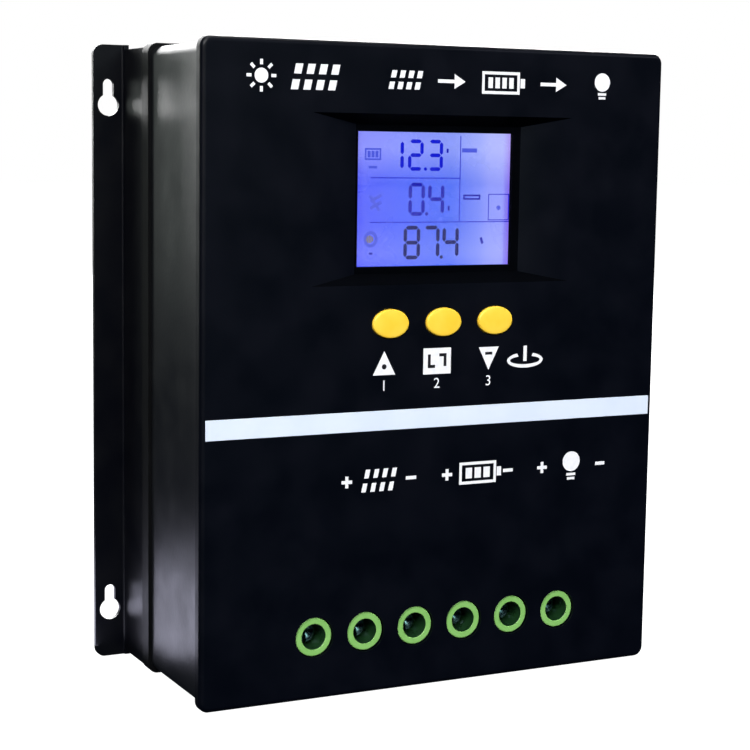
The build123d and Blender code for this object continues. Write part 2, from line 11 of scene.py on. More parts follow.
import bmesh
import bpy
from mathutils import Matrix, Vector


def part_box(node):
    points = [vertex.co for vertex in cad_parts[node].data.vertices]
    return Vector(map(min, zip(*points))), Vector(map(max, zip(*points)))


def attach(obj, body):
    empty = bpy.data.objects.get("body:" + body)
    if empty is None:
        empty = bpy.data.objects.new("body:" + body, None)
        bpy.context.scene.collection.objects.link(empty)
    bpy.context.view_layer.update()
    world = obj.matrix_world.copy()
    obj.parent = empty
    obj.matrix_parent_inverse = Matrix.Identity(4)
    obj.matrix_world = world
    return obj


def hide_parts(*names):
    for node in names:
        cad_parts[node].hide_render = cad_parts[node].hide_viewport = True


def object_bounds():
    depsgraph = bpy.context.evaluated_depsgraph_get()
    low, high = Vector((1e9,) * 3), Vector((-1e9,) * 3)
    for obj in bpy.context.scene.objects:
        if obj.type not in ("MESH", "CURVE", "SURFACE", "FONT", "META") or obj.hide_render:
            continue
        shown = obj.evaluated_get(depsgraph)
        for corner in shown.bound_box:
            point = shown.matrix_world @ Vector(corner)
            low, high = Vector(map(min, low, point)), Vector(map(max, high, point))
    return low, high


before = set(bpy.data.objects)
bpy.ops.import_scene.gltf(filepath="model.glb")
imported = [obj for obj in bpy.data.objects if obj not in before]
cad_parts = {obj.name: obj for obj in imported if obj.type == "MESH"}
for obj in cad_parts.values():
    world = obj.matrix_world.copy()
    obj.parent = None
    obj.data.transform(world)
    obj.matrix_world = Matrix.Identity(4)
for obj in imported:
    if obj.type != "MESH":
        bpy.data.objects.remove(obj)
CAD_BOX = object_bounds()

log = logging.getLogger("charge_controller")

MM = 0.001
SMOOTH_ANGLE = math.radians(35)
FACING = Matrix.Rotation(math.radians(90), 4, "X")   # turns flat work drawn in x and y to face the front
MERGE = 0.0005 * MM   # vertices closer than this are one
Point = tuple[float, float]
Colour = tuple[float, float, float, float]
Shape = bmesh.types.BMesh
Piece = bpy.types.Object
Tree = bpy.types.NodeTree
Socket = bpy.types.NodeSocket
Sockets = dict[str, Socket]


def linear(hex_colour: str) -> Colour:
    """Turns an sRGB hex colour to linear values.

    Args:
        hex_colour: six hex digits after a hash.
    Returns:
        Red, green, blue and an alpha of 1.
    """
    parts = [int(hex_colour[i:i + 2], 16) / 255 for i in (1, 3, 5)]
    return (*[c / 12.92 if c <= 0.04045 else ((c + 0.055) / 1.055) ** 2.4 for c in parts], 1.0)


def add(tree: Tree, kind: str, inputs: dict | None = None, **settings) -> bpy.types.Node:
    """Adds one shader node.

    Args:
        tree: node tree that gets the node.
        kind: the node's type name.
        inputs: values or output sockets, by the name or number of the input they go to.
        settings: properties of the node itself.
    Returns:
        The new node.
    """
    node = tree.nodes.new(kind)
    for name, value in settings.items():
        setattr(node, name, value)
    for key, value in (inputs or {}).items():
        if isinstance(value, Socket):
            tree.links.new(value, node.inputs[key])
        else:
            node.inputs[key].default_value = value
    return node


def ramp(tree: Tree, fac: Socket, stops: list[tuple[float, Colour]]) -> bpy.types.Node:
    """Adds a colour ramp.

    Args:
        tree: node tree that gets the ramp.
        fac: socket that drives it.
        stops: position and colour of each stop, in order.
    Returns:
        The ramp node.
    """
    node = add(tree, "ShaderNodeValToRGB", {"Fac": fac})
    elements = node.color_ramp.elements
    while len(elements) < len(stops):
        elements.new(0.5)
    for element, (position, colour) in zip(elements, stops):
        element.position = position
        element.color = colour
    return node


# ---------------------------------------------------------------- finishes
@dataclass(frozen=True)
class Finish:
    """A surface finish: two close colours in soft patches, a fine grain, and a roughness that drifts."""
    name: str
    colour: str
    second: str
    roughness: float
    metallic: float = 0.0
    ior: float = 1.5
    specular: float = 0.5
    patch_mm: float = 12.0
    grain_mm: float = 0.4
    relief_mm: float = 0.01
    drift: float = 0.05

    def material(self) -> bpy.types.Material:
        """The material, made the first time it is asked for.

        Returns:
            The material.
        """
        found = bpy.data.materials.get(self.name)
        if found:
            return found
        made = bpy.data.materials.new(self.name)
        made.use_nodes = True
        tree = made.node_tree
        tree.nodes.clear()
        coords = add(tree, "ShaderNodeTexCoord").outputs["Object"]
        shader = add(tree, "ShaderNodeBsdfPrincipled", {"Metallic": self.metallic})
        if self.metallic < 0.5:
            shader.inputs["IOR"].default_value = self.ior
            shader.inputs["Specular IOR Level"].default_value = self.specular
        for key, socket in self.pattern(tree, coords).items():
            tree.links.new(socket, shader.inputs[key])
        self.finish_shader(shader)
        add(tree, "ShaderNodeOutputMaterial", {"Surface": shader.outputs[0]})
        return made

    def noise(self, tree: Tree, coords: Socket, size_mm: float,
              detail: float = 3.0) -> Socket:
        """Soft noise whose patches are size_mm across."""
        return add(tree, "ShaderNodeTexNoise", {"Vector": coords, "Scale": 1 / (size_mm * MM),
                                                "Detail": detail}).outputs["Fac"]

    def pattern(self, tree: Tree, coords: Socket) -> Sockets:
        """The sockets that vary over the surface, by the shader input they go to.

        Args:
            tree: node tree that gets the nodes.
            coords: the piece's Object coordinates.
        Returns:
            Sockets by the shader input they go to.
        """
        patches = self.noise(tree, coords, self.patch_mm)
        return {"Base Color": self.two_tone(tree, patches), "Roughness": self.drifting(tree, patches),
                "Normal": self.bumped(tree, self.noise(tree, coords, self.grain_mm))}

    def two_tone(self, tree: Tree, fac: Socket) -> Socket:
        """The two colours, blended round the middle of a pattern."""
        return ramp(tree, fac, [(0.35, linear(self.colour)), (0.65, linear(self.second))]).outputs[0]

    def drifting(self, tree: Tree, fac: Socket) -> Socket:
        """Roughness that drifts round its own value.

        Args:
            tree: node tree that gets the nodes.
            fac: pattern, from 0 to 1.
        Returns:
            The socket that carries it.
        """
        return add(tree, "ShaderNodeMapRange", {"Value": fac, "From Min": 0.3, "From Max": 0.7,
                                                "To Min": self.roughness - self.drift,
                                                "To Max": self.roughness + self.drift}).outputs[0]

    def bumped(self, tree: Tree, height: Socket) -> Socket:
        """A normal bumped by a height pattern, relief_mm deep."""
        return add(tree, "ShaderNodeBump", {"Height": height, "Distance": self.relief_mm * MM,
                                            "Strength": 1.0}).outputs[0]

    def finish_shader(self, shader: bpy.types.Node) -> None:
        """Sets what is the same all over the surface. The plain finish adds nothing."""


@dataclass(frozen=True)
class PowderCoat(Finish):
    """Baked powder: a low orange peel under a thin gloss."""
    peel_mm: float = 1.6

    def pattern(self, tree: Tree, coords: Socket) -> Sockets:
        """Adds the orange peel under the fine grain.

        Args:
            tree: node tree that gets the nodes.
            coords: the piece's Object coordinates.
        Returns:
            Sockets by the shader input they go to.
        """
        sockets = super().pattern(tree, coords)
        peel = self.noise(tree, coords, self.peel_mm, 1.0)
        lumps = add(tree, "ShaderNodeBump", {"Height": peel, "Distance": self.relief_mm * MM * 2,
                                             "Normal": sockets["Normal"]})
        return sockets | {"Normal": lumps.outputs[0]}


@dataclass(frozen=True)
class DrawnMetal(Finish):
    """Rolled, extruded or plated metal with fine lines along one axis."""
    metallic: float = 1.0
    stretch: tuple[float, float, float] = (1.0, 1.0, 0.03)

    def pattern(self, tree: Tree, coords: Socket) -> Sockets:
        """Stretches the grain into lines, for the bump and for the roughness.

        Args:
            tree: node tree that gets the nodes.
            coords: the piece's Object coordinates.
        Returns:
            Sockets by the shader input they go to.
        """
        long = add(tree, "ShaderNodeMapping", {"Vector": coords, "Scale": self.stretch}).outputs[0]
        lines = self.noise(tree, long, self.grain_mm, 4.0)
        patches = self.noise(tree, coords, self.patch_mm)
        return {"Base Color": self.two_tone(tree, patches), "Roughness": self.drifting(tree, lines),
                "Normal": self.bumped(tree, lines)}


@dataclass(frozen=True)
class SolderMask(Finish):
    """Glass epoxy board: glossy mask over raised copper tracks."""
    track_mm: float = 1.3
    track: str = "#1F7A3C"

    def pattern(self, tree: Tree, coords: Socket) -> Sockets:
        """Tracks on a square layout, lighter where copper lies under the mask.

        Args:
            tree: node tree that gets the nodes.
            coords: the piece's Object coordinates.
        Returns:
            Sockets by the shader input they go to.
        """
        upright = (math.radians(90), 0, 0)
        flat = add(tree, "ShaderNodeMapping", {"Vector": coords, "Rotation": upright}).outputs[0]
        bricks = add(tree, "ShaderNodeTexBrick", {
            "Vector": flat, "Scale": 1 / (self.track_mm * 10 * MM), "Mortar Size": 0.06, "Brick Width": 0.9,
            "Row Height": 0.22, "Color1": linear(self.colour), "Color2": linear(self.second),
            "Mortar": linear(self.track)})
        joints = bricks.outputs["Fac"]
        return {"Base Color": bricks.outputs["Color"], "Roughness": self.drifting(tree, joints),
                "Normal": self.bumped(tree, joints)}


@dataclass(frozen=True)
class RibbonSkin(Finish):
    """Flat cable: ten round cores side by side under grey insulation."""
    core_mm: float = 1.27

    def pattern(self, tree: Tree, coords: Socket) -> Sockets:
        """Ridges along the cable, one for each core.

        Args:
            tree: node tree that gets the nodes.
            coords: the piece's Object coordinates.
        Returns:
            Sockets by the shader input they go to.
        """
        scale = math.pi / (10 * self.core_mm * MM)
        ridges = add(tree, "ShaderNodeTexWave", {"Vector": coords, "Scale": scale},
                     wave_profile="SIN").outputs["Fac"]
        colour = ramp(tree, ridges, [(0.2, linear(self.second)), (0.8, linear(self.colour))]).outputs[0]
        return {"Base Color": colour, "Roughness": self.drifting(tree, ridges),
                "Normal": self.bumped(tree, ridges)}


@dataclass(frozen=True)
class ClearAcrylic(Finish):
    """Cast acrylic window: clear, with a polished face."""

    def finish_shader(self, shader: bpy.types.Node) -> None:
        """Lets light through."""
        shader.inputs["Transmission Weight"].default_value = 1.0


@dataclass(frozen=True)
class Glowing(Finish):
    """A surface that shines by itself as well as taking light."""
    glow: str = "#FFFFFF"
    strength: float = 1.0

    def finish_shader(self, shader: bpy.types.Node) -> None:
        """Sets the glow."""
        shader.inputs["Emission Color"].default_value = linear(self.glow)
        shader.inputs["Emission Strength"].default_value = self.strength


@dataclass(frozen=True)
class LitCell(Finish):
    """Liquid crystal cell over an edge-lit guide: blue, paler to the right and along the top and bottom edges,
    where reflections on the glass are painted into the glow.
    """
    node: str = "lcd_glass"
    lap: float = 3.0 * MM
    strength: float = 1.0

    def pattern(self, tree: Tree, coords: Socket) -> Sockets:
        """Adds the glow's colour: the backlight's blue, with painted reflections as pale bands to the right
        and along the top and bottom.

        Args:
            tree: node tree that gets the nodes.
            coords: the piece's Object coordinates.
        Returns:
            Sockets by the shader input they go to.
        """
        low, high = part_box(self.node)
        parts = add(tree, "ShaderNodeSeparateXYZ", {"Vector": coords})
        right = add(tree, "ShaderNodeMapRange", {"Value": parts.outputs["X"], "From Min": low.x + self.lap,
                                                 "From Max": high.x - self.lap}).outputs[0]
        up = add(tree, "ShaderNodeMapRange", {"Value": parts.outputs["Z"], "From Min": low.z + self.lap,
                                              "From Max": high.z - self.lap}).outputs[0]
        # the backlight's blue, with a painted reflection in the pale band towards the right
        blue = self.shades(tree, right, ((0.0, "#2A38F2"), (0.06, "#4A5AFA"), (0.3, "#4862FA"),
                                         (0.62, "#4468F4"), (0.8, "#7488FA"), (0.87, "#8C98FC"),
                                         (0.96, "#939CFD"), (1.0, "#8A76F6")))
        # painted reflection: pale bands added along the top and bottom edges of the glass
        painted_reflection_band = self.shades(tree, up, ((0.0, "#2C2C50"), (0.1, "#45452A"), (0.32, "#000000"), (0.6, "#000000"),
                                      (0.88, "#7E7C48"), (1.0, "#7A7844")))
        glow = add(tree, "ShaderNodeMix", data_type="RGBA", blend_type="ADD")
        glow.inputs["Factor"].default_value = 1.0
        tree.links.new(blue, glow.inputs[6])
        tree.links.new(painted_reflection_band, glow.inputs[7])
        return super().pattern(tree, coords) | {"Emission Color": glow.outputs[2]}

    def shades(self, tree: Tree, fac: Socket, stops: tuple[tuple[float, str], ...]) -> Socket:
        """A ramp through hex colours."""
        return ramp(tree, fac, [(position, linear(colour)) for position, colour in stops]).outputs[0]

    def finish_shader(self, shader: bpy.types.Node) -> None:
        """Sets how brightly the cell shines."""
        shader.inputs["Emission Strength"].default_value = self.strength


# Moulded ABS, black with a blue cast: fine spark-eroded grain breaks the highlights into a satin sheen.
PANEL_ABS = Finish("moulded_abs_panel", "#01030A", "#03050E", roughness=0.42, specular=0.25, grain_mm=0.35,
                   # The same ABS on the recess's floor and its upper and lower slopes, darker and with almost
                   # no reflection: painted shade round the bright display, over a coarse matt grain.
                   relief_mm=0.008)
# The same ABS in the recess: a coarse matt grain that takes the light away around the bright display.
RECESS_SHADE_ABS = Finish("moulded_abs_recess_painted_shade", "#000103", "#010205", roughness=0.7, specular=0.04, grain_mm=0.6,
                    relief_mm=0.01)
# Steel with black powder coat: smooth enough to carry a soft gradient, with a low orange peel.
COVER_COAT = PowderCoat("powder_coat_cover", "#101216", "#131518", roughness=0.34, grain_mm=0.5,
                        relief_mm=0.012)
# The same coat on the brackets, a shade darker.
BRACKET_COAT = PowderCoat("powder_coat_bracket", "#03040A", "#05060B", roughness=0.38, specular=0.35,
                          relief_mm=0.012)
# Extruded aluminium, black anodised: die lines run up the fins, and the dye leaves a dull metal gleam.
FIN_ANODISED = DrawnMetal("anodised_aluminium_fins", "#0A0B0D", "#0E0F11", roughness=0.5, metallic=0.4,
                          specular=0.3, grain_mm=0.5, relief_mm=0.01)
# White polycarbonate strip with a soft satin face.
STRIP_PC = Finish("polycarbonate_strip", "#E0EBFC", "#DAE6FA", roughness=0.35, grain_mm=0.3, relief_mm=0.004)
# Screen-print ink: flat and slightly chalky, with pinholes too small to see.
INK_WHITE = Finish("screen_ink_white", "#F6F7FA", "#ECEEF3", roughness=0.6, patch_mm=1.5, grain_mm=0.12,
                   relief_mm=0.004)
# The same ink in black, printed over the white.
INK_BLACK = Finish("screen_ink_black", "#06070E", "#0A0B14", roughness=0.6, patch_mm=1.5, grain_mm=0.12,
                   relief_mm=0.004)
# Cast acrylic: water-clear with a polished face.
LENS_ACRYLIC = ClearAcrylic("cast_acrylic_lens", "#FFFFFF", "#FCFDFF", roughness=0.03, drift=0.01, ior=1.49,
                            grain_mm=6.0, relief_mm=0.002)
# Liquid crystal cell: dark by itself, so its glow gives it all its colour, the backlight's blue with painted
# reflections along its edges.
CELL = LitCell("liquid_crystal_cell", "#0A0E30", "#0C1136", roughness=0.25, relief_mm=0.002)
# Liquid crystal segments, from weakly driven to fully dark: black by themselves, letting some blue through.
SEGMENT_FAINT, SEGMENT_MID, SEGMENT_DARK, SEGMENT_BLACK = (
    Glowing(f"segment_{shade}", colour, second, roughness=0.5, specular=0.1, glow=glow)
    for shade, colour, second, glow in (
        ("faint", "#020310", "#030412", "#4E5CE4"), ("mid", "#020310", "#030412", "#0A18D6"),
        ("dark", "#020210", "#020212", "#0006B4"), ("black", "#01010A", "#02020C", "#000466")))
# The lamp sign's segment, behind a yellow film.
SEGMENT_YELLOW = Glowing("segment_yellow", "#14110A", "#17140A", roughness=0.4, glow="#7A6E38")
# Light guide: milky acrylic with a print of dots behind it.
GUIDE = Glowing("acrylic_light_guide", "#DDE4FF", "#CFD8FA", roughness=0.2, glow="#6F86FF", strength=0.4)
# Silicone rubber keys, dyed through: soft sheen and a very fine moulded grain.
KEY_RUBBER = Finish("silicone_rubber_key", "#FFCF38", "#FFD646", roughness=0.42, patch_mm=5.0, grain_mm=0.25,
                    relief_mm=0.006)
# Polyamide terminal housing, leaf green with a dull moulded skin.
TERMINAL_PA = Finish("polyamide_terminal", "#80BA62", "#88C06A", roughness=0.42, patch_mm=4.0, grain_mm=0.3,
                     relief_mm=0.008)
# The same polyamide down in the screw wells, dark green and a little glossier: the dark green is painted
# shade.
TERMINAL_WELL_SHADE = Finish("polyamide_terminal_well", "#16341A", "#1C3E20", roughness=0.3, patch_mm=2.0,
                       grain_mm=0.3, relief_mm=0.008)
# Clamp screws: blue-green chromate over bright zinc, which glints from its edges.
SCREW_PLATE = DrawnMetal("chromated_zinc_screw", "#7E9C9E", "#4E7076", roughness=0.2, patch_mm=0.9,
                         grain_mm=0.15, relief_mm=0.004, stretch=(1.0, 1.0, 1.0))
# Zinc-plated steel with a bluish passivation: bright, with turning marks.
ZINC = DrawnMetal("zinc_plated_steel", "#AEB4B8", "#98A2A8", roughness=0.28, patch_mm=1.6, grain_mm=0.15,
                  relief_mm=0.004, stretch=(1.0, 1.0, 1.0))
# Nickel-plated clamp: a warmer, duller plate than the screws.
NICKEL = DrawnMetal("nickel_plated_clamp", "#A8A394", "#8F8B7E", roughness=0.32, patch_mm=2.5, grain_mm=0.2)
# Machined brass spacers, with turning marks.
BRASS = DrawnMetal("machined_brass", "#C49A4A", "#B68C40", roughness=0.3, patch_mm=2.0, grain_mm=0.2)
# Glass-epoxy board under green solder mask.
BOARD = SolderMask("solder_mask_board", "#0B4A22", "#0E5528", roughness=0.3, relief_mm=0.02)
# Phenolic and epoxy packages: matt black with a fine grit.
PACKAGE = Finish("epoxy_package", "#101113", "#17181A", roughness=0.55, patch_mm=3.0, grain_mm=0.25)
# Bent sheet frame round the cell, blackened.
LCD_FRAME = Finish("blackened_steel_frame", "#0B0B0D", "#111114", roughness=0.45, metallic=0.3)
# Grey PVC drawn over ten parallel wires, which show as soft ridges.
RIBBON = RibbonSkin("ribbon_insulation", "#8B8F93", "#5F6367", roughness=0.5, relief_mm=0.2)
# Silicone heat pad, grey with ceramic filler.
PAD = Finish("silicone_heat_pad", "#7D8588", "#8B9396", roughness=0.75, patch_mm=1.0, grain_mm=0.3)
# Mill-finish steel bar.
BAR_STEEL = DrawnMetal("rolled_steel_bar", "#8A8D90", "#777A7E", roughness=0.4, stretch=(0.05, 1.0, 1.0))
# Epoxy bead round the thermistor, dark and slightly glossy.
SENSOR = Finish("epoxy_sensor", "#20262C", "#2A3138", roughness=0.4)
# Powdered-iron toroid with its yellow paint.
CORE = Finish("painted_iron_core", "#C9A820", "#B89818", roughness=0.5, patch_mm=2.0, grain_mm=0.3)
# Copper, bare bars and enamelled wire alike: warm, with drawing lines.
COPPER = DrawnMetal("drawn_copper", "#B8693C", "#A65A30", roughness=0.28, patch_mm=3.0, grain_mm=0.25)
# Shrink sleeve round the capacitor cans.
CAN_SLEEVE = Finish("capacitor_sleeve", "#0C0D10", "#131519", roughness=0.25, patch_mm=6.0)
# Moulded polycarbonate fuse bodies, orange as their rating is coded.
FUSE = Finish("polycarbonate_fuse", "#E0661A", "#E8742A", roughness=0.3, patch_mm=2.0)
# Matt white studio floor, which glows by itself so that it stays as pale as the sky into the distance.
FLOOR_PAINT = Glowing("painted_studio_floor", "#6A6B6E", "#6E6F71", roughness=0.9, patch_mm=300.0,
                      relief_mm=0.001, strength=1.02)


# ---------------------------------------------------------------- mesh helpers
def block(low: Vector, high: Vector) -> Shape:
    """A box between two corners.

    Args:
        low, high: the lower and the upper corner.
    Returns:
        The shape.
    """
    bm = bmesh.new()
    scale = Matrix.Diagonal((*(high - low), 1.0))
    bmesh.ops.create_cube(bm, size=1.0, matrix=Matrix.Translation((low + high) / 2) @ scale)
    return bm


def rod(x: float, z: float, radii: Point, front: float, back: float, segments: int = 72) -> Shape:
    """A round or oval bar along Y.

    Args:
        x, z: place of its axis.
        radii: half its width and half its height.
        front, back: where it starts and ends along Y.
        segments: sides of the bar.
    Returns:
        The bar as a bmesh.
    """
    bm = bmesh.new()
    place = Matrix.Translation((x, (front + back) / 2, z))
    shape = Matrix.Rotation(math.radians(90), 4, "X") @ Matrix.Diagonal((*radii, back - front, 1.0))
    bmesh.ops.create_cone(bm, cap_ends=True, segments=segments, radius1=1.0, radius2=1.0, depth=1.0,
                          matrix=place @ shape)
    return bm


def turned(profile: list[Point], centre: Vector, segments: int = 48, squeeze: float = 1.0) -> Shape:
    """Turns a profile round an axis along Y.

    Args:
        profile: radius and depth of each point, from one end of the axis to the other.
        centre: the point of the axis that depths count from.
        segments: steps of the turn.
        squeeze: height of the turned shape as a share of its width.
    Returns:
        The turned shape, closed at its poles.
    """
    bm = bmesh.new()
    verts = [bm.verts.new((radius, depth, 0.0)) for radius, depth in profile]
    edges = [bm.edges.new(pair) for pair in zip(verts, verts[1:])]
    bmesh.ops.spin(bm, geom=verts + edges, cent=(0, 0, 0), axis=(0, 1, 0), dvec=(0, 0, 0),
                   angle=math.tau, steps=segments, use_merge=True, use_duplicate=False)
    place = Matrix.Translation(centre) @ Matrix.Diagonal((1, 1, squeeze, 1))
    bmesh.ops.transform(bm, verts=bm.verts, matrix=place)
    return bm


def join(shapes: list[Shape]) -> Shape:
    """Puts several shapes in one bmesh, each still closed by itself.

    Args:
        shapes: closed shapes, which are used up.
    Returns:
        The shape.
    """
    whole = bmesh.new()
    for shape in shapes:
        carrier = bpy.data.meshes.new("carrier")
        shape.to_mesh(carrier)
        shape.free()
        whole.from_mesh(carrier)
        bpy.data.meshes.remove(carrier)
    return whole


def to_object(bm: Shape, name: str) -> Piece:
    """Makes a bmesh an object at the origin, with its doubles merged and its faces pointing outwards.

    Args:
        bm: the shape, which is used up.
        name: the piece's name.
    Returns:
        The new object.
    """
    bmesh.ops.remove_doubles(bm, verts=bm.verts, dist=MERGE)
    bmesh.ops.recalc_face_normals(bm, faces=bm.faces)
    mesh = bpy.data.meshes.new(name)
    bm.to_mesh(mesh)
    bm.free()
    made = bpy.data.objects.new(name, mesh)
    bpy.context.scene.collection.objects.link(made)
    return made


def settle(piece: Piece) -> None:
    """Applies a piece's modifiers to its mesh.

    Args:
        piece: the piece that is changed.
    """
    bpy.context.view_layer.update()
    shape = piece.evaluated_get(bpy.context.evaluated_depsgraph_get())
    mesh = bpy.data.meshes.new_from_object(shape)
    piece.modifiers.clear()
    piece.data = mesh


def carve(piece: Piece, cutters: list[Shape], operation: str = "DIFFERENCE") -> None:
    """Cuts shapes out of a piece, or joins them to it with the operation UNION.

    Args:
        piece: the piece that is changed.
        cutters: shapes to cut with, which are used up.
        operation: DIFFERENCE or UNION.
    """
    tools = [to_object(cutter, f"{piece.name}_tool_{i}") for i, cutter in enumerate(cutters)]
    for tool in tools:
        modifier = piece.modifiers.new("carve", "BOOLEAN")
        modifier.object = tool
        modifier.operation = operation
        modifier.solver = "EXACT"
    settle(piece)
    for tool in tools:
        bpy.data.objects.remove(tool)


def soften(piece: Piece, width: float, segments: int = 2) -> None:
    """Rounds a piece's sharp edges and keeps its flat faces shading flat.

    Args:
        piece: the piece that is changed.
        width: width of each rounded edge.
        segments: faces across each rounded edge.
    """
    bevel = piece.modifiers.new("edges", "BEVEL")
    bevel.width = width
    bevel.segments = segments
    bevel.limit_method = "ANGLE"
    bevel.angle_limit = SMOOTH_ANGLE
    bevel.use_clamp_overlap = True
    weighted = piece.modifiers.new("shading", "WEIGHTED_NORMAL")
    weighted.keep_sharp = True


def copied(node: str, name: str) -> Piece:
    """A copy of a CAD node, with its triangles merged into whole faces.

    Args:
        node: name of the CAD node.
        name: the piece's name.
    Returns:
        The new object.
    """
    bm = bmesh.new()
    bm.from_mesh(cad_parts[node].data)
    bmesh.ops.remove_doubles(bm, verts=bm.verts, dist=MERGE)
    bmesh.ops.dissolve_limit(bm, angle_limit=math.radians(0.5), verts=bm.verts, edges=bm.edges)
    return to_object(bm, name)


def dress(piece: Piece, finish: Finish, body: str = "case",
          replaces: tuple[str, ...] = ()) -> Piece:
    """Gives a piece its finish, its body and the CAD nodes that it stands for.

    Args:
        piece: the finished piece.
        finish: what it is made of.
        body: the CAD body that it rides on.
        replaces: CAD nodes that it stands for.
    Returns:
        The piece.
    """
    piece.data.materials.clear()
    piece.data.materials.append(finish.material())
    piece.data.shade_smooth()
    piece.data.set_sharp_from_angle(angle=SMOOTH_ANGLE)
    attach(piece, body)
    if replaces:
        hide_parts(*replaces)
    log.info("%s: %d faces, %s, on %s", piece.name, len(piece.data.polygons), finish.name, body)
    return piece


def coat(node: str, finish: Finish) -> None:
    """Gives a carried-over CAD node its finish.

    Args:
        node: name of the CAD node.
        finish: what it is made of.
    """
    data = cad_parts[node].data
    data.materials.clear()
    data.materials.append(finish.material())
    log.info("%s: kept from the frame, %s", node, finish.name)


def middle(node: str) -> Vector:
    """The middle of a CAD node's box."""
    low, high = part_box(node)
    return (low + high) / 2


# ---------------------------------------------------------------- flat work: prints and segments
class Drawing:
    """Flat shapes drawn in x and y, from an origin and in a unit of its own, then turned to face the front."""

    def __init__(self, origin: Point = (0.0, 0.0), unit: float = 1.0) -> None:
        """Starts an empty drawing."""
        self.bm = bmesh.new()
        self.scale = Matrix.Translation((*origin, 0.0)) @ Matrix.Diagonal((unit, unit, unit, 1.0))

    def polygon(self, points: list[Point]) -> "Drawing":
        """Adds a filled outline."""
        self.bm.faces.new([self.bm.verts.new(self.scale @ Vector((x, y, 0.0))) for x, y in points])
        return self

    def bar(self, start: Point, end: Point, width: float) -> "Drawing":
        """Adds a straight stroke with square ends.

        Args:
            start, end: where it starts and ends.
            width: width of the stroke.
        Returns:
            The drawing.
        """
        along = Vector((end[0] - start[0], end[1] - start[1])).normalized() * width / 2
        side = Vector((-along.y, along.x))
        a, b = Vector(start), Vector(end)
        return self.polygon([tuple(p) for p in (a - side, b - side, b + side, a + side)])

    def box(self, x: float, y: float, width: float, height: float) -> "Drawing":
        """Adds a filled rectangle centred at x and y."""
        return self.bar((x - width / 2, y), (x + width / 2, y), height)

    def frame(self, x: float, y: float, width: float, height: float, stroke: float) -> "Drawing":
        """Adds a rectangle's outline.

        Args:
            x, y: its place.
            width, height: its whole size.
            stroke: width of the line.
        Returns:
            The drawing.
        """
        half_w, half_h, inset = width / 2, height / 2, stroke / 2
        for side in (-1, 1):
            self.box(x, y + side * (half_h - inset), width, stroke)
            self.box(x + side * (half_w - inset), y, stroke, height - 2 * stroke)
        return self

    def disc(self, x: float, y: float, radius: float) -> "Drawing":
        """Adds a filled circle.

        Args:
            x, y: its place.
            radius: its radius.
        Returns:
            The drawing.
        """
        place = self.scale @ Matrix.Translation((x, y, 0))
        bmesh.ops.create_circle(self.bm, cap_ends=True, segments=28, radius=radius, matrix=place)
        return self

    def arc(self, x: float, y: float, radii: Point, stroke: float, start: float = 0.0,
            turn: float = 180.0, steps: int = 32) -> "Drawing":
        """Adds part of a round or oval ring with a stroke of even width.

        Args:
            x, y: its centre.
            radii: half its width and half its height, to the middle of the stroke.
            stroke: width of the stroke.
            start: angle of its first end in degrees, from the right, anticlockwise.
            turn: degrees that it covers.
            steps: pieces of the arc.
        Returns:
            The drawing.
        """
        angles = [math.radians(start + turn * i / steps) for i in range(steps + 1)]
        edges = []
        for grow in (stroke / 2, -stroke / 2):
            across, up = radii[0] + grow, radii[1] + grow
            edges.append([(x + across * math.cos(a), y + up * math.sin(a)) for a in angles])
        return self.polygon(edges[0] + edges[1][::-1])

    def solid(self, name: str, front: float, thickness: float) -> Piece:
        """Turns the drawing to face the front and gives it a thickness.

        Args:
            name: the piece's name.
            front: Y of its front face.
            thickness: how far it reaches back.
        Returns:
            The piece, at the origin.
        """
        bmesh.ops.remove_doubles(self.bm, verts=self.bm.verts, dist=MERGE)
        flat = list(self.bm.faces)
        raised = bmesh.ops.extrude_face_region(self.bm, geom=flat, use_keep_orig=True)
        moved = [v for v in raised["geom"] if isinstance(v, bmesh.types.BMVert)]
        bmesh.ops.translate(self.bm, verts=moved, vec=(0, 0, thickness))
        place = Matrix.Translation((0, front + thickness, 0)) @ FACING
        bmesh.ops.transform(self.bm, verts=self.bm.verts, matrix=place)
        return to_object(self.bm, name)


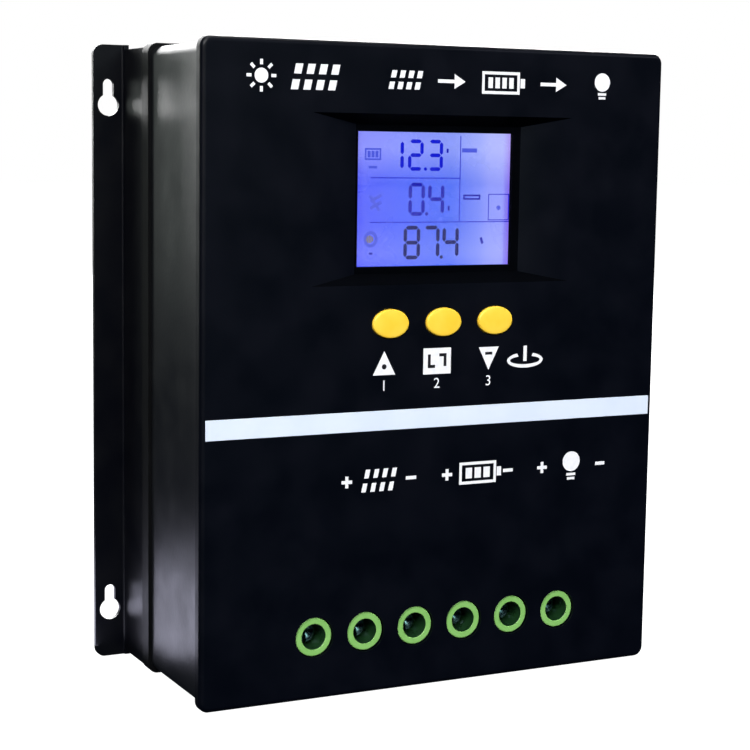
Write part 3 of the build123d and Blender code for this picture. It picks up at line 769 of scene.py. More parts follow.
# ---------------------------------------------------------------- sub-assemblies
@dataclass
class Panel:
    """Moulded front panel with the display's recess, its button and terminal holes, and the pale strip."""
    corner_r: float = 3.0 * MM
    edge_r: float = 1.5 * MM
    thickness: float = 3.7 * MM
    recess_mouth: Point = (84.5 * MM, 48.3 * MM)
    recess_floor: Point = (54.0 * MM, 42.4 * MM)
    recess_depth: float = 4.0 * MM
    recess_shift: float = 0.9 * MM
    window: Point = (50.7 * MM, 38.4 * MM)
    boss_wall: float = 1.0 * MM
    hole_gap: float = 0.3 * MM
    groove_gap: float = 0.1 * MM
    screw_hole_r: float = 1.5 * MM
    screw_hole_depth: float = 2.4 * MM
    edge_break: float = 0.28 * MM
    low: Vector = field(init=False)
    high: Vector = field(init=False)

    def __post_init__(self) -> None:
        """Reads the panel's place."""
        self.low, self.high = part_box("front_panel")

    def build(self) -> None:
        """Builds the panel and the strip."""
        panel = to_object(self.slab(), "front_panel_shell")
        carve(panel, [self.boss()], "UNION")
        carve(panel, [self.recess(), self.window_hole(), *self.holes()])
        soften(panel, self.edge_break)
        dress(panel, PANEL_ABS, replaces=("front_panel",))
        self.shade_recess(panel)
        strip = to_object(block(*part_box("accent_strip")), "accent_strip_bar")
        soften(strip, self.groove_gap)
        dress(strip, STRIP_PC, replaces=("accent_strip",))

    def shade_recess(self, panel: Piece) -> None:
        """Gives the recess's floor and its slopes above and below a coarser grain and a darker, duller black,
        which is painted shade.

        Args:
            panel: the finished panel.
        """
        panel.data.materials.append(RECESS_SHADE_ABS.material())
        centre, skin, steep = self.recess_centre(), 0.02 * MM, 0.25
        for face in panel.data.polygons:
            off = face.center - centre
            inside = abs(off.x) < self.recess_mouth[0] / 2 and abs(off.z) < self.recess_mouth[1] / 2
            sloped = abs(face.normal.z) > steep or face.center.y > self.low.y + self.recess_depth - skin
            if inside and sloped and face.center.y > self.low.y + skin and face.normal.y < 0.5:
                # painted shade: these recess faces take the darker black
                face.material_index = 1

    def recess_centre(self) -> Vector:
        """The recess's middle, a little to the right of the display's."""
        return middle("lcd_glass") + Vector((self.recess_shift, 0, 0))

    def slab(self) -> Shape:
        """The panel's plate, with round corners and a rounded front edge.

        Returns:
            The shape.
        """
        bm = block(self.low, Vector((self.high.x, self.low.y + self.thickness, self.high.z)))
        upright = [e for e in bm.edges if abs(e.verts[0].co.y - e.verts[1].co.y) > self.thickness / 2]
        bmesh.ops.bevel(bm, geom=upright, offset=self.corner_r, affect="EDGES", segments=8, profile=0.5,
                        material=-1)
        rim = [e for e in bm.edges if max(v.co.y for v in e.verts) < self.low.y + 0.01 * MM]
        bmesh.ops.bevel(bm, geom=rim, offset=self.edge_r, affect="EDGES", segments=6, profile=0.5,
                        material=-1)
        return bm

    def boss(self) -> Shape:
        """The block behind the plate that holds the recess.

        Returns:
            The shape.
        """
        centre, back = self.recess_centre(), self.high.y
        taper = (self.recess_mouth[0] - self.recess_floor[0]) / self.recess_depth
        width = self.recess_floor[0] + taper * (back - self.low.y - self.recess_depth) + 2 * self.boss_wall
        half = Vector((width / 2, 0, self.recess_mouth[1] / 2 - 0.7 * MM))
        front = self.low.y + self.thickness - 0.1 * MM
        return block(Vector((centre.x, front, centre.z)) - half, Vector((centre.x, back, centre.z)) + half)

    def recess(self) -> Shape:
        """The tapered hollow: wide slopes left and right, steep ones above and below.

        Returns:
            The shape.
        """
        centre, start = self.recess_centre(), -1.0 * MM
        bm = bmesh.new()
        bmesh.ops.create_cube(bm, size=1.0)
        for v in bm.verts:
            depth = start if v.co.y < 0 else self.recess_depth
            share = depth / self.recess_depth
            width, height = (m + (f - m) * share for m, f in zip(self.recess_mouth, self.recess_floor))
            v.co = Vector((centre.x + v.co.x * width, self.low.y + depth, centre.z + v.co.z * height))
        return bm

    def window_hole(self) -> Shape:
        """The display's window, right through the boss.

        Returns:
            The shape.
        """
        centre = middle("lcd_glass")
        half = Vector((self.window[0] / 2, 0, self.window[1] / 2))
        low = Vector((centre.x, self.low.y, centre.z)) - half
        return block(low, Vector((centre.x, self.high.y + MM, centre.z)) + half)

    def holes(self) -> list[Shape]:
        """Cutters for the buttons, the collars, the strip's groove and the blind screw holes.

        Returns:
            One shape for each cut.
        """
        front, back = self.low.y - MM, self.low.y + self.thickness + MM
        cuts = []
        for key in Key:
            centre = middle(f"button_{key.value}")
            radii = (KEY_SIZE[0] / 2 + self.hole_gap, KEY_SIZE[1] / 2 + self.hole_gap)
            cuts.append(rod(centre.x, centre.z, radii, front, back))
        for number in POLES:
            centre = middle(f"terminal_screw_{number}")
            cuts.append(rod(centre.x, centre.z, (COLLAR_R + self.hole_gap,) * 2, front, back, 64))
        low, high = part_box("accent_strip")
        gap = Vector((self.groove_gap, 0, self.groove_gap))
        cuts.append(block(low - gap - Vector((0, MM, 0)), high + gap))
        inner = self.low.y + self.thickness
        for x, z in screw_places("panel_screws"):
            radii = (self.screw_hole_r,) * 2
            cuts.append(rod(x, z, radii, inner - self.screw_hole_depth, inner + 3 * MM, 24))
        return cuts


class Key(Enum):
    """The three push buttons, by the end of their nodes' names."""
    UP = "up"
    MENU = "menu"
    DOWN = "down"


POLES = range(1, 7)
KEY_SIZE = (11.65 * MM, 8.37 * MM)
COLLAR_R = 5.65 * MM


def screw_places(node: str) -> list[Point]:
    """X and Z of each screw in a node of several, from the middles of its separate solids.

    Args:
        node: name of the CAD node.
    Returns:
        X and Z of each screw, from left to right.
    """
    bm = bmesh.new()
    bm.from_mesh(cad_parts[node].data)
    bmesh.ops.remove_doubles(bm, verts=bm.verts, dist=MERGE)
    left, places = set(bm.verts), []
    while left:
        island, border = set(), [left.pop()]
        while border:
            vert = border.pop()
            island.add(vert)
            near = {e.other_vert(vert) for e in vert.link_edges} & left
            left -= near
            border.extend(near)
        xs, zs = [v.co.x for v in island], [v.co.z for v in island]
        places.append(((min(xs) + max(xs)) / 2, (min(zs) + max(zs)) / 2))
    bm.free()
    return sorted(places)


@dataclass
class Buttons:
    """Three oval rubber keys with a crisp rim, each with its retaining flange and stem."""
    crown: float = 0.15 * MM
    shoulder: float = 0.7 * MM
    flange: float = 1.2 * MM
    flange_depth: float = 5.9 * MM
    flange_thickness: float = 1.2 * MM
    stem_r: float = 2.0 * MM
    plunger_r: float = 1.7 * MM

    def build(self) -> None:
        """Builds each button and its switch plunger."""
        for key in Key:
            node = f"button_{key.value}"
            low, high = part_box(node)
            centre = middle(node)
            top = Vector((centre.x, low.y, centre.z))
            cap = to_object(join([turned(self.cap_profile(), top, 72, KEY_SIZE[1] / KEY_SIZE[0]),
                                  turned(self.stem_profile(high.y - low.y), top, 32)]), f"{node}_cap")
            dress(cap, KEY_RUBBER, body=node, replaces=(node,))
            self.plunger(f"plunger_{key.value}", body=node)

    def cap_profile(self) -> list[Point]:
        """Radius and depth of the cap and its flange: a low crown, a rolled rim, the wall and the flange.

        Returns:
            Radius and depth of each point.
        """
        half = KEY_SIZE[0] / 2
        rolled = [(half - self.shoulder * (1 - math.sin(a)), self.crown + self.shoulder * (1 - math.cos(a)))
                  for a in (math.radians(15 * i) for i in range(7))]
        crown = [(half * share, self.crown * share ** 2) for share in (0.0, 0.2, 0.4, 0.6, 0.75)]
        back = self.flange_depth + self.flange_thickness
        return crown + rolled + [(half, self.flange_depth), (half + self.flange, self.flange_depth),
                                 (half + self.flange, back), (0.0, back)]

    def stem_profile(self, length: float) -> list[Point]:
        """Radius and depth of the stem behind the flange.

        Args:
            length: length from front to back.
        Returns:
            Radius and depth of each point.
        """
        start, tip = self.flange_depth + self.flange_thickness + 0.002 * MM, 0.3 * MM
        return [(0.0, start), (self.stem_r, start), (self.stem_r, length - tip), (self.stem_r - tip, length),
                (0.0, length)]

    def plunger(self, node: str, body: str) -> None:
        """Builds a switch plunger with a rounded end.

        Args:
            node: name of the CAD node.
            body: the CAD body that it rides on.
        """
        low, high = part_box(node)
        length, edge = high.y - low.y, 0.25 * MM
        profile = [(0.0, 0.0), (self.plunger_r - edge, 0.0), (self.plunger_r - 0.3 * edge, 0.3 * edge),
                   (self.plunger_r, edge), (self.plunger_r, length - edge), (self.plunger_r - edge, length),
                   (0.0, length)]
        centre = middle(node)
        piece = to_object(turned(profile, Vector((centre.x, low.y, centre.z)), 32), f"{node}_post")
        dress(piece, PACKAGE, body, (node,))


@dataclass
class Terminals:
    """Six poles: green housing with its collar, slotted clamp screw with a thread, and clamp cage."""
    head_r: float = 3.4 * MM
    head_t: float = 3.0 * MM
    head_edge: float = 0.25 * MM
    dish: Point = (2.5 * MM, 0.8 * MM)
    slot_width: float = 1.0 * MM
    slot_depth: float = 1.5 * MM
    cross: float = 5.44 * MM
    thread_r: float = 2.5 * MM
    root_r: float = 2.12 * MM
    pitch: float = 0.8 * MM
    steps_per_turn: int = 20
    well_r: float = 3.85 * MM
    screw_edge: float = 0.08 * MM
    housing_edge: float = 0.25 * MM
    cage_edge: float = 0.3 * MM

    def build(self) -> None:
        """Builds every pole."""
        for number in POLES:
            housing = copied(f"terminal_pole_{number}", f"terminal_housing_{number}")
            soften(housing, self.housing_edge)
            dress(housing, TERMINAL_PA, replaces=(f"terminal_pole_{number}",))
            self.shade_well(housing, middle(f"terminal_screw_{number}"))
            self.screw(number)
            cage = copied(f"clamp_cage_{number}", f"clamp_box_{number}")
            soften(cage, self.cage_edge)
            dress(cage, NICKEL, f"clamp_{number}", (f"clamp_cage_{number}",))

    def shade_well(self, housing: Piece, axis: Vector) -> None:
        """Gives the inside of the screw's well a darker, glossier finish, whose dark green is painted shade.

        Args:
            housing: the finished housing.
            axis: a point on the well's axis.
        """
        housing.data.materials.append(TERMINAL_WELL_SHADE.material())
        for face in housing.data.polygons:
            off = Vector((face.center.x - axis.x, face.center.z - axis.z))
            # painted shade: the well's walls and floor take the dark green
            if off.length < self.well_r and face.normal.y > -0.9:
                face.material_index = 1

    def screw(self, number: int) -> None:
        """Builds a clamp screw: dished head, slot with a short cross, and threaded shank.

        Args:
            number: the pole's number.
        """
        node = f"terminal_screw_{number}"
        low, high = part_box(node)
        centre = middle(node)
        top = Vector((centre.x, low.y, centre.z))
        edge, length = self.head_edge, high.y - low.y
        dish = [(0.0, self.dish[1]), (0.1 * self.head_r, self.dish[1]), (self.dish[0], 0.0)]
        head = [(self.head_r - edge, 0.0), (self.head_r, edge), (self.head_r, self.head_t)]
        shank = [(self.root_r, self.head_t), (self.root_r, length - edge), (self.root_r - edge, length),
                 (0.0, length)]
        screw = to_object(turned(dish + head + shank, top, 48), f"{node}_turned")
        across = Vector((self.slot_width / 2, 0, self.head_r + MM))
        short = Vector((self.cross / 2, 0, self.slot_width / 2))
        reach = Vector((0, self.slot_depth, 0))
        carve(screw, [block(top - half - Vector((0, MM, 0)), top + half + reach) for half in (across, short)])
        carve(screw, [self.thread(top, self.head_t + self.pitch, length - self.pitch)], "UNION")
        soften(screw, self.screw_edge)
        dress(screw, SCREW_PLATE, f"screw_{number}", (node,))

    def thread(self, top: Vector, start: float, end: float) -> Shape:
        """The thread's ridge, wound round the shank and closed at both ends.

        Args:
            top: middle of the screw's front face.
            start, end: how far behind that face it starts and ends.
        Returns:
            The shape.
        """
        bm = bmesh.new()
        root, half = self.root_r - 0.1 * MM, self.pitch * 0.42
        corners = [(root, start - half), (self.thread_r, start), (root, start + half)]
        verts = [bm.verts.new((radius, depth, 0)) for radius, depth in corners]
        edges = [bm.edges.new((verts[i], verts[(i + 1) % 3])) for i in range(3)]
        turns = (end - start) / self.pitch
        steps = round(turns * self.steps_per_turn)
        bmesh.ops.spin(bm, geom=verts + edges, cent=(0, 0, 0), axis=(0, 1, 0), angle=turns * math.tau,
                       dvec=(0, (end - start) / steps, 0), steps=steps, use_duplicate=False)
        bmesh.ops.holes_fill(bm, edges=[e for e in bm.edges if e.is_boundary], sides=3)
        bmesh.ops.translate(bm, verts=bm.verts, vec=top)
        return bm


@dataclass
class Shell:
    """Sheet-metal cover, mounting brackets and finned base plate, with the burrs taken off their edges."""
    sheet_edge: float = 0.25 * MM
    plate_edge: float = 0.3 * MM

    def build(self) -> None:
        """Builds the cover, both brackets and the heat sink."""
        self.part("front_cover", "cover_sheet", COVER_COAT, self.sheet_edge)
        for side in ("left", "right"):
            node = f"{side}_bracket"
            self.part(node, f"{node}_sheet", BRACKET_COAT, self.sheet_edge)
        self.part("heat_sink", "heat_sink_extrusion", FIN_ANODISED, self.plate_edge)

    def part(self, node: str, name: str, finish: Finish, edge: float) -> None:
        """Builds one sheet part from a copy of its node.

        Args:
            node: name of the CAD node.
            name: the piece's name.
            finish: what it is made of.
            edge: width of its softened edges.
        """
        piece = copied(node, name)
        soften(piece, edge)
        dress(piece, finish, replaces=(node,))


@dataclass
class Fasteners:
    """Pan-head screws with domed heads and a cross recess."""
    head_r: float = 2.75 * MM
    head_t: float = 1.8 * MM
    shank_r: float = 1.45 * MM
    recess: Point = (3.2 * MM, 0.7 * MM)
    recess_depth: float = 1.1 * MM

    def build(self) -> None:
        """Builds each set of screws. The heads of the last two face the front."""
        for node in ("case_screws", "bracket_screws", "panel_screws", "display_screws"):
            self.screws(node, head_behind=True)
        for node in ("board_screws", "clamp_screws"):
            self.screws(node, head_behind=False)

    def screws(self, node: str, head_behind: bool) -> None:
        """Builds one node's screws as separate solids of one piece.

        Args:
            node: name of the CAD node.
            head_behind: whether the heads are at the back.
        """
        low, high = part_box(node)
        side = 1 if head_behind else -1
        top = high.y if head_behind else low.y
        bodies, cuts = [], []
        for x, z in screw_places(node):
            bodies.append(turned(self.profile(high.y - low.y, side), Vector((x, top, z)), 32))
            for width, height in (self.recess, self.recess[::-1]):
                half = Vector((width / 2, 0, height / 2))
                ends = sorted((top + side * MM, top - side * self.recess_depth))
                cuts.append(block(Vector((x, ends[0], z)) - half, Vector((x, ends[1], z)) + half))
        piece = to_object(join(bodies), f"{node}_set")
        carve(piece, [join(cuts[::2]), join(cuts[1::2])])
        dress(piece, ZINC, replaces=(node,))

    def profile(self, length: float, side: int) -> list[Point]:
        """Radius and depth from the head's top to the tip, with the head on the given side.

        Args:
            length: length from front to back.
            side: 1 where the head is at the back, -1 where it is in front.
        Returns:
            Radius and depth of each point.
        """
        dome = [(self.head_r * math.sin(a), self.head_t * 0.55 * (1 - math.cos(a)))
                for a in (math.radians(15 * i) for i in range(7))]
        outline = dome + [(self.head_r, self.head_t), (self.shank_r, self.head_t),
                          (self.shank_r, length - 0.5 * MM), (self.shank_r - 0.5 * MM, length), (0.0, length)]
        return [(radius, -side * depth) for radius, depth in outline]


@dataclass
class Display:
    """What shows on the cell: figures, ruled lines and small signs, between the cell and the lens.

    Everything on the cell is drawn in millimetres from the picture's lower left corner.
    """
    gap: float = 0.03 * MM
    thickness: float = 0.04 * MM
    digit: Point = (4.2, 8.4)
    digit_step: float = 6.4
    segment: float = 1.08
    segment_gap: float = 0.16
    point_r: float = 0.5
    rule: float = 0.26
    frame_edge: float = 0.2 * MM
    window: Point = (50.7 * MM, 38.4 * MM)
    side_step: float = 0.9 * MM

    def build(self) -> None:
        """Builds the readings and dresses the display's own pieces."""
        coat("display_lens", LENS_ACRYLIC)
        coat("lcd_glass", CELL)
        coat("lcd_backlight", GUIDE)
        frame_piece = copied("lcd_frame", "lcd_frame_bent")
        soften(frame_piece, self.frame_edge)
        dress(frame_piece, LCD_FRAME, replaces=("lcd_frame",))
        for node in ("lcd_glass", "lcd_backlight"):
            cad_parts[node].visible_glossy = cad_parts[node].visible_diffuse = False
        self.show(self.reading("12.3", 10.3, 27.9, 7.9), "reading_volts", SEGMENT_MID)
        self.show(self.reading("0.4", 17.1, 15.0, 8.4), "reading_amps", SEGMENT_DARK)
        self.show(self.reading("87.4", 15.7, 2.4, 8.6), "reading_charge", SEGMENT_BLACK)
        self.show(self.rules(), "display_rules", SEGMENT_MID)
        self.show(self.signs(), "display_signs", SEGMENT_FAINT)
        self.show(self.marks(), "display_marks", SEGMENT_DARK)
        self.show(self.lamp(), "display_lamp", SEGMENT_YELLOW)

    def sheet(self) -> Drawing:
        """An empty drawing in millimetres from the picture's lower left corner."""
        centre = middle("lcd_glass")
        return Drawing((centre.x - self.window[0] / 2 + self.side_step, centre.z - self.window[1] / 2), MM)

    def show(self, drawing: Drawing, name: str, finish: Finish) -> None:
        """Places a drawing just in front of the cell."""
        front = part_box("lcd_glass")[0].y - self.gap - self.thickness
        dress(drawing.solid(name, front, self.thickness), finish)

    def reading(self, figures: str, x: float, y: float, height: float) -> Drawing:
        """Seven-segment figures.

        Args:
            figures: digits, with a point after the digit that it follows.
            x, y: lower left corner of the first digit, in millimetres.
            height: height of a digit, in millimetres.
        Returns:
            The drawing.
        """
        drawing, width, half = self.sheet(), self.digit[0] * height / self.digit[1], height / 2
        side, gap = self.segment / 2, self.segment_gap
        spots = {"a": (0, height, 1), "g": (0, half, 1), "d": (0, 0, 1), "f": (0, half, 0),
                 "b": (width, half, 0), "e": (0, 0, 0), "c": (width, 0, 0)}
        lit = {"0": "abcdef", "1": "bc", "2": "abged", "3": "abgcd", "4": "fgbc", "7": "abc", "8": "abcdefg"}
        for figure in figures:
            if figure == ".":
                drawing.disc(x - self.digit_step + width + 2.5 * self.point_r, y, self.point_r)
                continue
            for name in lit[figure]:
                across, up, flat = spots[name]
                end = (width if flat else half) - gap
                points = [(gap, 0), (gap + side, side), (end - side, side), (end, 0), (end - side, -side),
                          (gap + side, -side)]
                upright = points if flat else [(v, u) for u, v in points]
                drawing.polygon([(x + across + u, y + up + v) for u, v in upright])
            x += self.digit_step
        return drawing

    def rules(self) -> Drawing:
        """The lines that divide the display, and the small box on its right.

        Returns:
            The drawing.
        """
        drawing, margin, split = self.sheet(), 4.3, 33.4
        drawing.bar((split, 12.8), (split, 37.6), self.rule)
        drawing.bar((margin, 25.3), (split, 25.3), self.rule)
        drawing.bar((margin, 12.6), (50.2, 12.6), self.rule)
        return drawing.frame(46.6, 16.9, 7.1, 7.8, self.rule)

    def signs(self) -> Drawing:
        """Faint signs beside the rows: a battery, a load and a lamp's glow, and the box's dot.

        Returns:
            The drawing.
        """
        drawing, x = self.sheet(), 4.9
        drawing.frame(x, 32.0, 5.2, 3.4, 0.5)
        for i in (-1, 0, 1):
            drawing.box(x + 1.25 * i, 32.0, 0.95, 1.9)
        drawing.box(x, 28.3, 2.6, 0.7)
        for i in (-1, 1):
            drawing.bar((x - 0.6, 17.6 + i), (x + 2.8, 19.4 + i), 0.9)
        drawing.bar((x - 0.8, 20.2), (x + 2.2, 16.0), 0.8)
        for start in (0, 180):
            drawing.arc(x - 0.4, 7.8, (1.75, 1.9), 0.9, start)
        drawing.box(36.4, 33.4, 5.0, 1.2)
        return drawing.disc(46.6, 16.7, 0.7)

    def marks(self) -> Drawing:
        """Small dark marks: the dash, the ticks after the readings, and the mark under the lamp.

        Returns:
            The drawing.
        """
        drawing = self.sheet()
        drawing.frame(37.5, 19.8, 5.7, 1.5, 0.5)
        drawing.box(29.1, 33.2, 0.6, 1.2)
        drawing.box(29.8, 16.6, 0.6, 1.4)
        drawing.bar((40.8, 8.0), (41.4, 6.2), 0.75)
        return drawing.box(4.6, 3.7, 1.1, 0.55)

    def lamp(self) -> Drawing:
        """The lamp's lit centre, drawn as fine upright lines.

        Returns:
            The drawing.
        """
        drawing = self.sheet()
        for i in range(-2, 3):
            drawing.box(4.1 + 0.5 * i, 7.8, 0.34, 2.2 - 0.25 * i * i)
        return drawing


@dataclass
class Prints:
    """White screen prints on the panel: key symbols, numerals, and plain pictograms in place of words."""
    ink: float = 0.02 * MM
    row_drop: float = 11.3 * MM
    shift: float = 1.9 * MM
    number_drop: float = 17.9 * MM
    number_height: float = 3.0 * MM
    digit_share: float = 0.7   # height of a digit as a share of the type's size
    power_shift: float = 12.5 * MM
    header_drop: float = 10.2 * MM
    sun_x: float = 17.4 * MM
    cells_x: float = 33.6 * MM
    row_ends: Point = (55.4 * MM, 133.0 * MM)
    pole_rise: float = 44.4 * MM

    def build(self) -> None:
        """Builds every print."""
        keys = [middle(f"button_{key.value}") for key in Key]
        row = keys[0].z - self.row_drop
        places = [key.x - self.shift for key in keys]
        self.place(self.triangle(places[0], row + 3.5 * MM, row - 3.4 * MM, 3.6 * MM), "print_up")
        self.place(Drawing().box(places[1], row, 9.1 * MM, 7.6 * MM), "print_menu")
        self.place(self.triangle(places[2], row - 3.3 * MM, row + 3.5 * MM, 3.4 * MM), "print_down")
        dark = self.openings(places, row).solid("print_openings", self.face() - 2 * self.ink, self.ink)
        dress(dark, INK_BLACK)
        self.place(self.power_sign(places[2] + self.power_shift, row), "print_power")
        for number, x in enumerate(places, start=1):
            self.numeral(str(number), x, keys[0].z - self.number_drop)
        low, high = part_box("front_panel")
        header = high.z - self.header_drop
        self.place(self.sun(low.x + self.sun_x, header, 4.4 * MM), "print_header_sun")
        self.place(self.solar_panel(low.x + self.cells_x, header, 15.0 * MM, 8.6 * MM), "print_header_panel")
        self.place(self.header_row(*(low.x + end for end in self.row_ends), header), "print_header_row")
        self.place(self.pole_row(middle("terminal_screw_1").z + self.pole_rise), "print_pole_row")

    def place(self, drawing: Drawing, name: str) -> None:
        """Lays a drawing on the panel's face."""
        dress(drawing.solid(name, self.face() - self.ink, self.ink), INK_WHITE)

    def face(self) -> float:
        """Y of the panel's face."""
        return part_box("front_panel")[0].y

    def numeral(self, text: str, x: float, y: float) -> None:
        """Builds one numeral under a key's symbol.

        Args:
            text: the numeral.
            x, y: its place.
        """
        curve = bpy.data.curves.new(f"numeral_{text}", "FONT")
        curve.body, curve.size = text, self.number_height / self.digit_share
        curve.align_x, curve.align_y = "CENTER", "CENTER"
        curve.extrude = self.ink / 2
        carrier = bpy.data.objects.new("carrier", curve)
        bpy.context.scene.collection.objects.link(carrier)
        bpy.context.view_layer.update()
        flat = carrier.evaluated_get(bpy.context.evaluated_depsgraph_get())
        mesh = bpy.data.meshes.new_from_object(flat)
        bpy.data.objects.remove(carrier)
        mesh.transform(Matrix.Translation((x, self.face() - self.ink / 2, y)) @ FACING)
        bm = bmesh.new()
        bm.from_mesh(mesh)
        dress(to_object(bm, f"print_numeral_{text}"), INK_WHITE)

    def triangle(self, x: float, tip: float, foot: float, half: float) -> Drawing:
        """A filled triangle, given by its point's height, its straight side's height and half its width."""
        return Drawing().polygon([(x, tip), (x - half, foot), (x + half, foot)])

    def openings(self, xs: list[float], y: float) -> Drawing:
        """The dark figures inside the three key symbols: a dot, two corner strokes and a dash.

        Args:
            xs: X of the three key symbols.
            y: its height on the panel.
        Returns:
            The drawing.
        """
        drawing, stroke = Drawing().disc(xs[0], y - 1.0 * MM, 0.75 * MM), 0.92 * MM
        x, high, low = xs[1], y + 2.1 * MM, y - 2.0 * MM
        for side, top, bottom in ((-1, high - 0.1 * MM, low), (1, high + 0.1 * MM, low + 0.4 * MM)):
            foot = top if side > 0 else bottom
            drawing.box(x + side * 2.6 * MM, (top + bottom) / 2, stroke, top - bottom)
            drawing.box(x + side * 1.45 * MM, foot - side * stroke / 2, 1.55 * MM, stroke)
        drawing.box(xs[2], y + 1.6 * MM, 2.4 * MM, 0.8 * MM)
        return drawing

    def power_sign(self, x: float, y: float) -> Drawing:
        """A flattened ring, open at the top, with an upright bar in the opening.

        Args:
            x, y: its place.
        Returns:
            The drawing.
        """
        radii, gap = (5.65 * MM, 1.75 * MM), 26
        drawing = Drawing().arc(x, y - 0.9 * MM, radii, 1.05 * MM, 90 + gap, 180 - gap)
        drawing.arc(x, y - 0.9 * MM, radii, 1.05 * MM, 270, 180 - gap)
        return drawing.box(x, y + 1.1 * MM, 1.15 * MM, 4.6 * MM)

    def sun(self, x: float, y: float, reach: float) -> Drawing:
        """A disc with eight rays.

        Args:
            x, y: its place.
            reach: half of the whole width.
        Returns:
            The drawing.
        """
        drawing = Drawing().disc(x, y, 0.46 * reach)
        for i in range(8):
            a = math.tau * i / 8
            near, far = 0.66 * reach, reach
            drawing.bar((x + near * math.cos(a), y + near * math.sin(a)),
                        (x + far * math.cos(a), y + far * math.sin(a)), 0.2 * reach)
        return drawing

    def solar_panel(self, x: float, y: float, width: float, height: float) -> Drawing:
        """Two rows of slanted cells.

        Args:
            x, y: its place.
            width, height: its whole size.
        Returns:
            The drawing.
        """
        drawing, columns, lean, gap = Drawing(), 4, 0.22 * height, 0.09 * height
        for row in (0, 1):
            for column in range(columns):
                left = x - width / 2 + column * width / columns
                low = y - height / 2 + row * height / 2
                right, top = width / columns - gap, height / 2 - gap
                points = ((gap, gap), (right, gap), (right, top), (gap, top))
                drawing.polygon([(left + u + lean * (low + v - y) / height, low + v) for u, v in points])
        return drawing

    def battery(self, drawing: Drawing, x: float, y: float, width: float, height: float, bars: int) -> None:
        """Adds a battery lying on its side with some of its bars filled.

        Args:
            drawing: the drawing that it is added to.
            x, y: its place.
            width, height: its whole size.
            bars: how many bars are filled.
        """
        stroke = 0.13 * height
        drawing.frame(x, y, width, height, stroke)
        drawing.box(x + width / 2 + 0.08 * width, y, 0.12 * width, 0.42 * height)
        room = width - 4 * stroke
        for i in range(bars):
            drawing.box(x - room / 2 + (i + 0.5) * room / bars, y, room / bars - stroke, height - 4 * stroke)

    def lamp(self, drawing: Drawing, x: float, y: float, height: float) -> None:
        """Adds a lamp bulb over its base.

        Args:
            drawing: the drawing that it is added to.
            x, y: its place.
            height: the whole height.
        """
        drawing.disc(x, y + 0.14 * height, 0.34 * height)
        for i, width in enumerate((0.36, 0.3)):
            drawing.box(x, y - (0.3 + 0.14 * i) * height, width * height, 0.09 * height)

    def arrow(self, drawing: Drawing, x: float, y: float, length: float, height: float) -> None:
        """Adds an arrow pointing right.

        Args:
            drawing: the drawing that it is added to.
            x, y: its place.
            length: its length from left to right.
            height: the whole height.
        """
        drawing.box(x - 0.2 * length, y, 0.6 * length, 0.24 * height)
        barb = x + 0.1 * length
        drawing.polygon([(barb, y - height / 2), (x + length / 2, y), (barb, y + height / 2)])

    def header_row(self, left: float, right: float, y: float) -> Drawing:
        """The way the power goes: sun and cells, battery, and lamp, with arrows between.

        Args:
            left, right: where it starts and ends along X.
            y: its height on the panel.
        Returns:
            The drawing.
        """
        width, height = right - left, 6.4 * MM
        drawing = self.solar_panel(left + 0.08 * width, y, 11.0 * MM, height)
        self.arrow(drawing, left + 0.27 * width, y, 9.0 * MM, 4.2 * MM)
        self.battery(drawing, left + 0.48 * width, y, 12.6 * MM, height, 4)
        self.arrow(drawing, left + 0.71 * width, y, 9.0 * MM, 4.2 * MM)
        self.lamp(drawing, left + 0.93 * width, y, 8.0 * MM)
        return drawing

    def pole_row(self, y: float) -> Drawing:
        """One sign over each pair of poles, between a plus and a minus.

        Args:
            y: its height on the panel.
        Returns:
            The drawing.
        """
        xs, height = [middle(f"terminal_screw_{i}").x + 11.8 * MM for i in POLES], 8.0 * MM
        drawing = self.solar_panel((xs[0] + xs[1]) / 2, y, 11.5 * MM, height)
        self.battery(drawing, (xs[2] + xs[3]) / 2, y, 12.5 * MM, 6.6 * MM, 3)
        self.lamp(drawing, (xs[4] + xs[5]) / 2, y, 9.0 * MM)
        for i, x in enumerate(xs):
            plus = i % 2 == 0
            x += (-2.2 if plus else 2.2) * MM
            drawing.box(x, y, 3.4 * MM, 1.0 * MM)
            for side in (1, -1) if plus else ():
                drawing.box(x, y + side * 1.1 * MM, 1.0 * MM, 1.2 * MM)
        return drawing


@dataclass(frozen=True)
class KeptNode:
    """A CAD node that keeps its shape, or its softened copy, and takes a finish."""
    node: str
    finish: Finish
    slot: str
    edge: float = 0.0


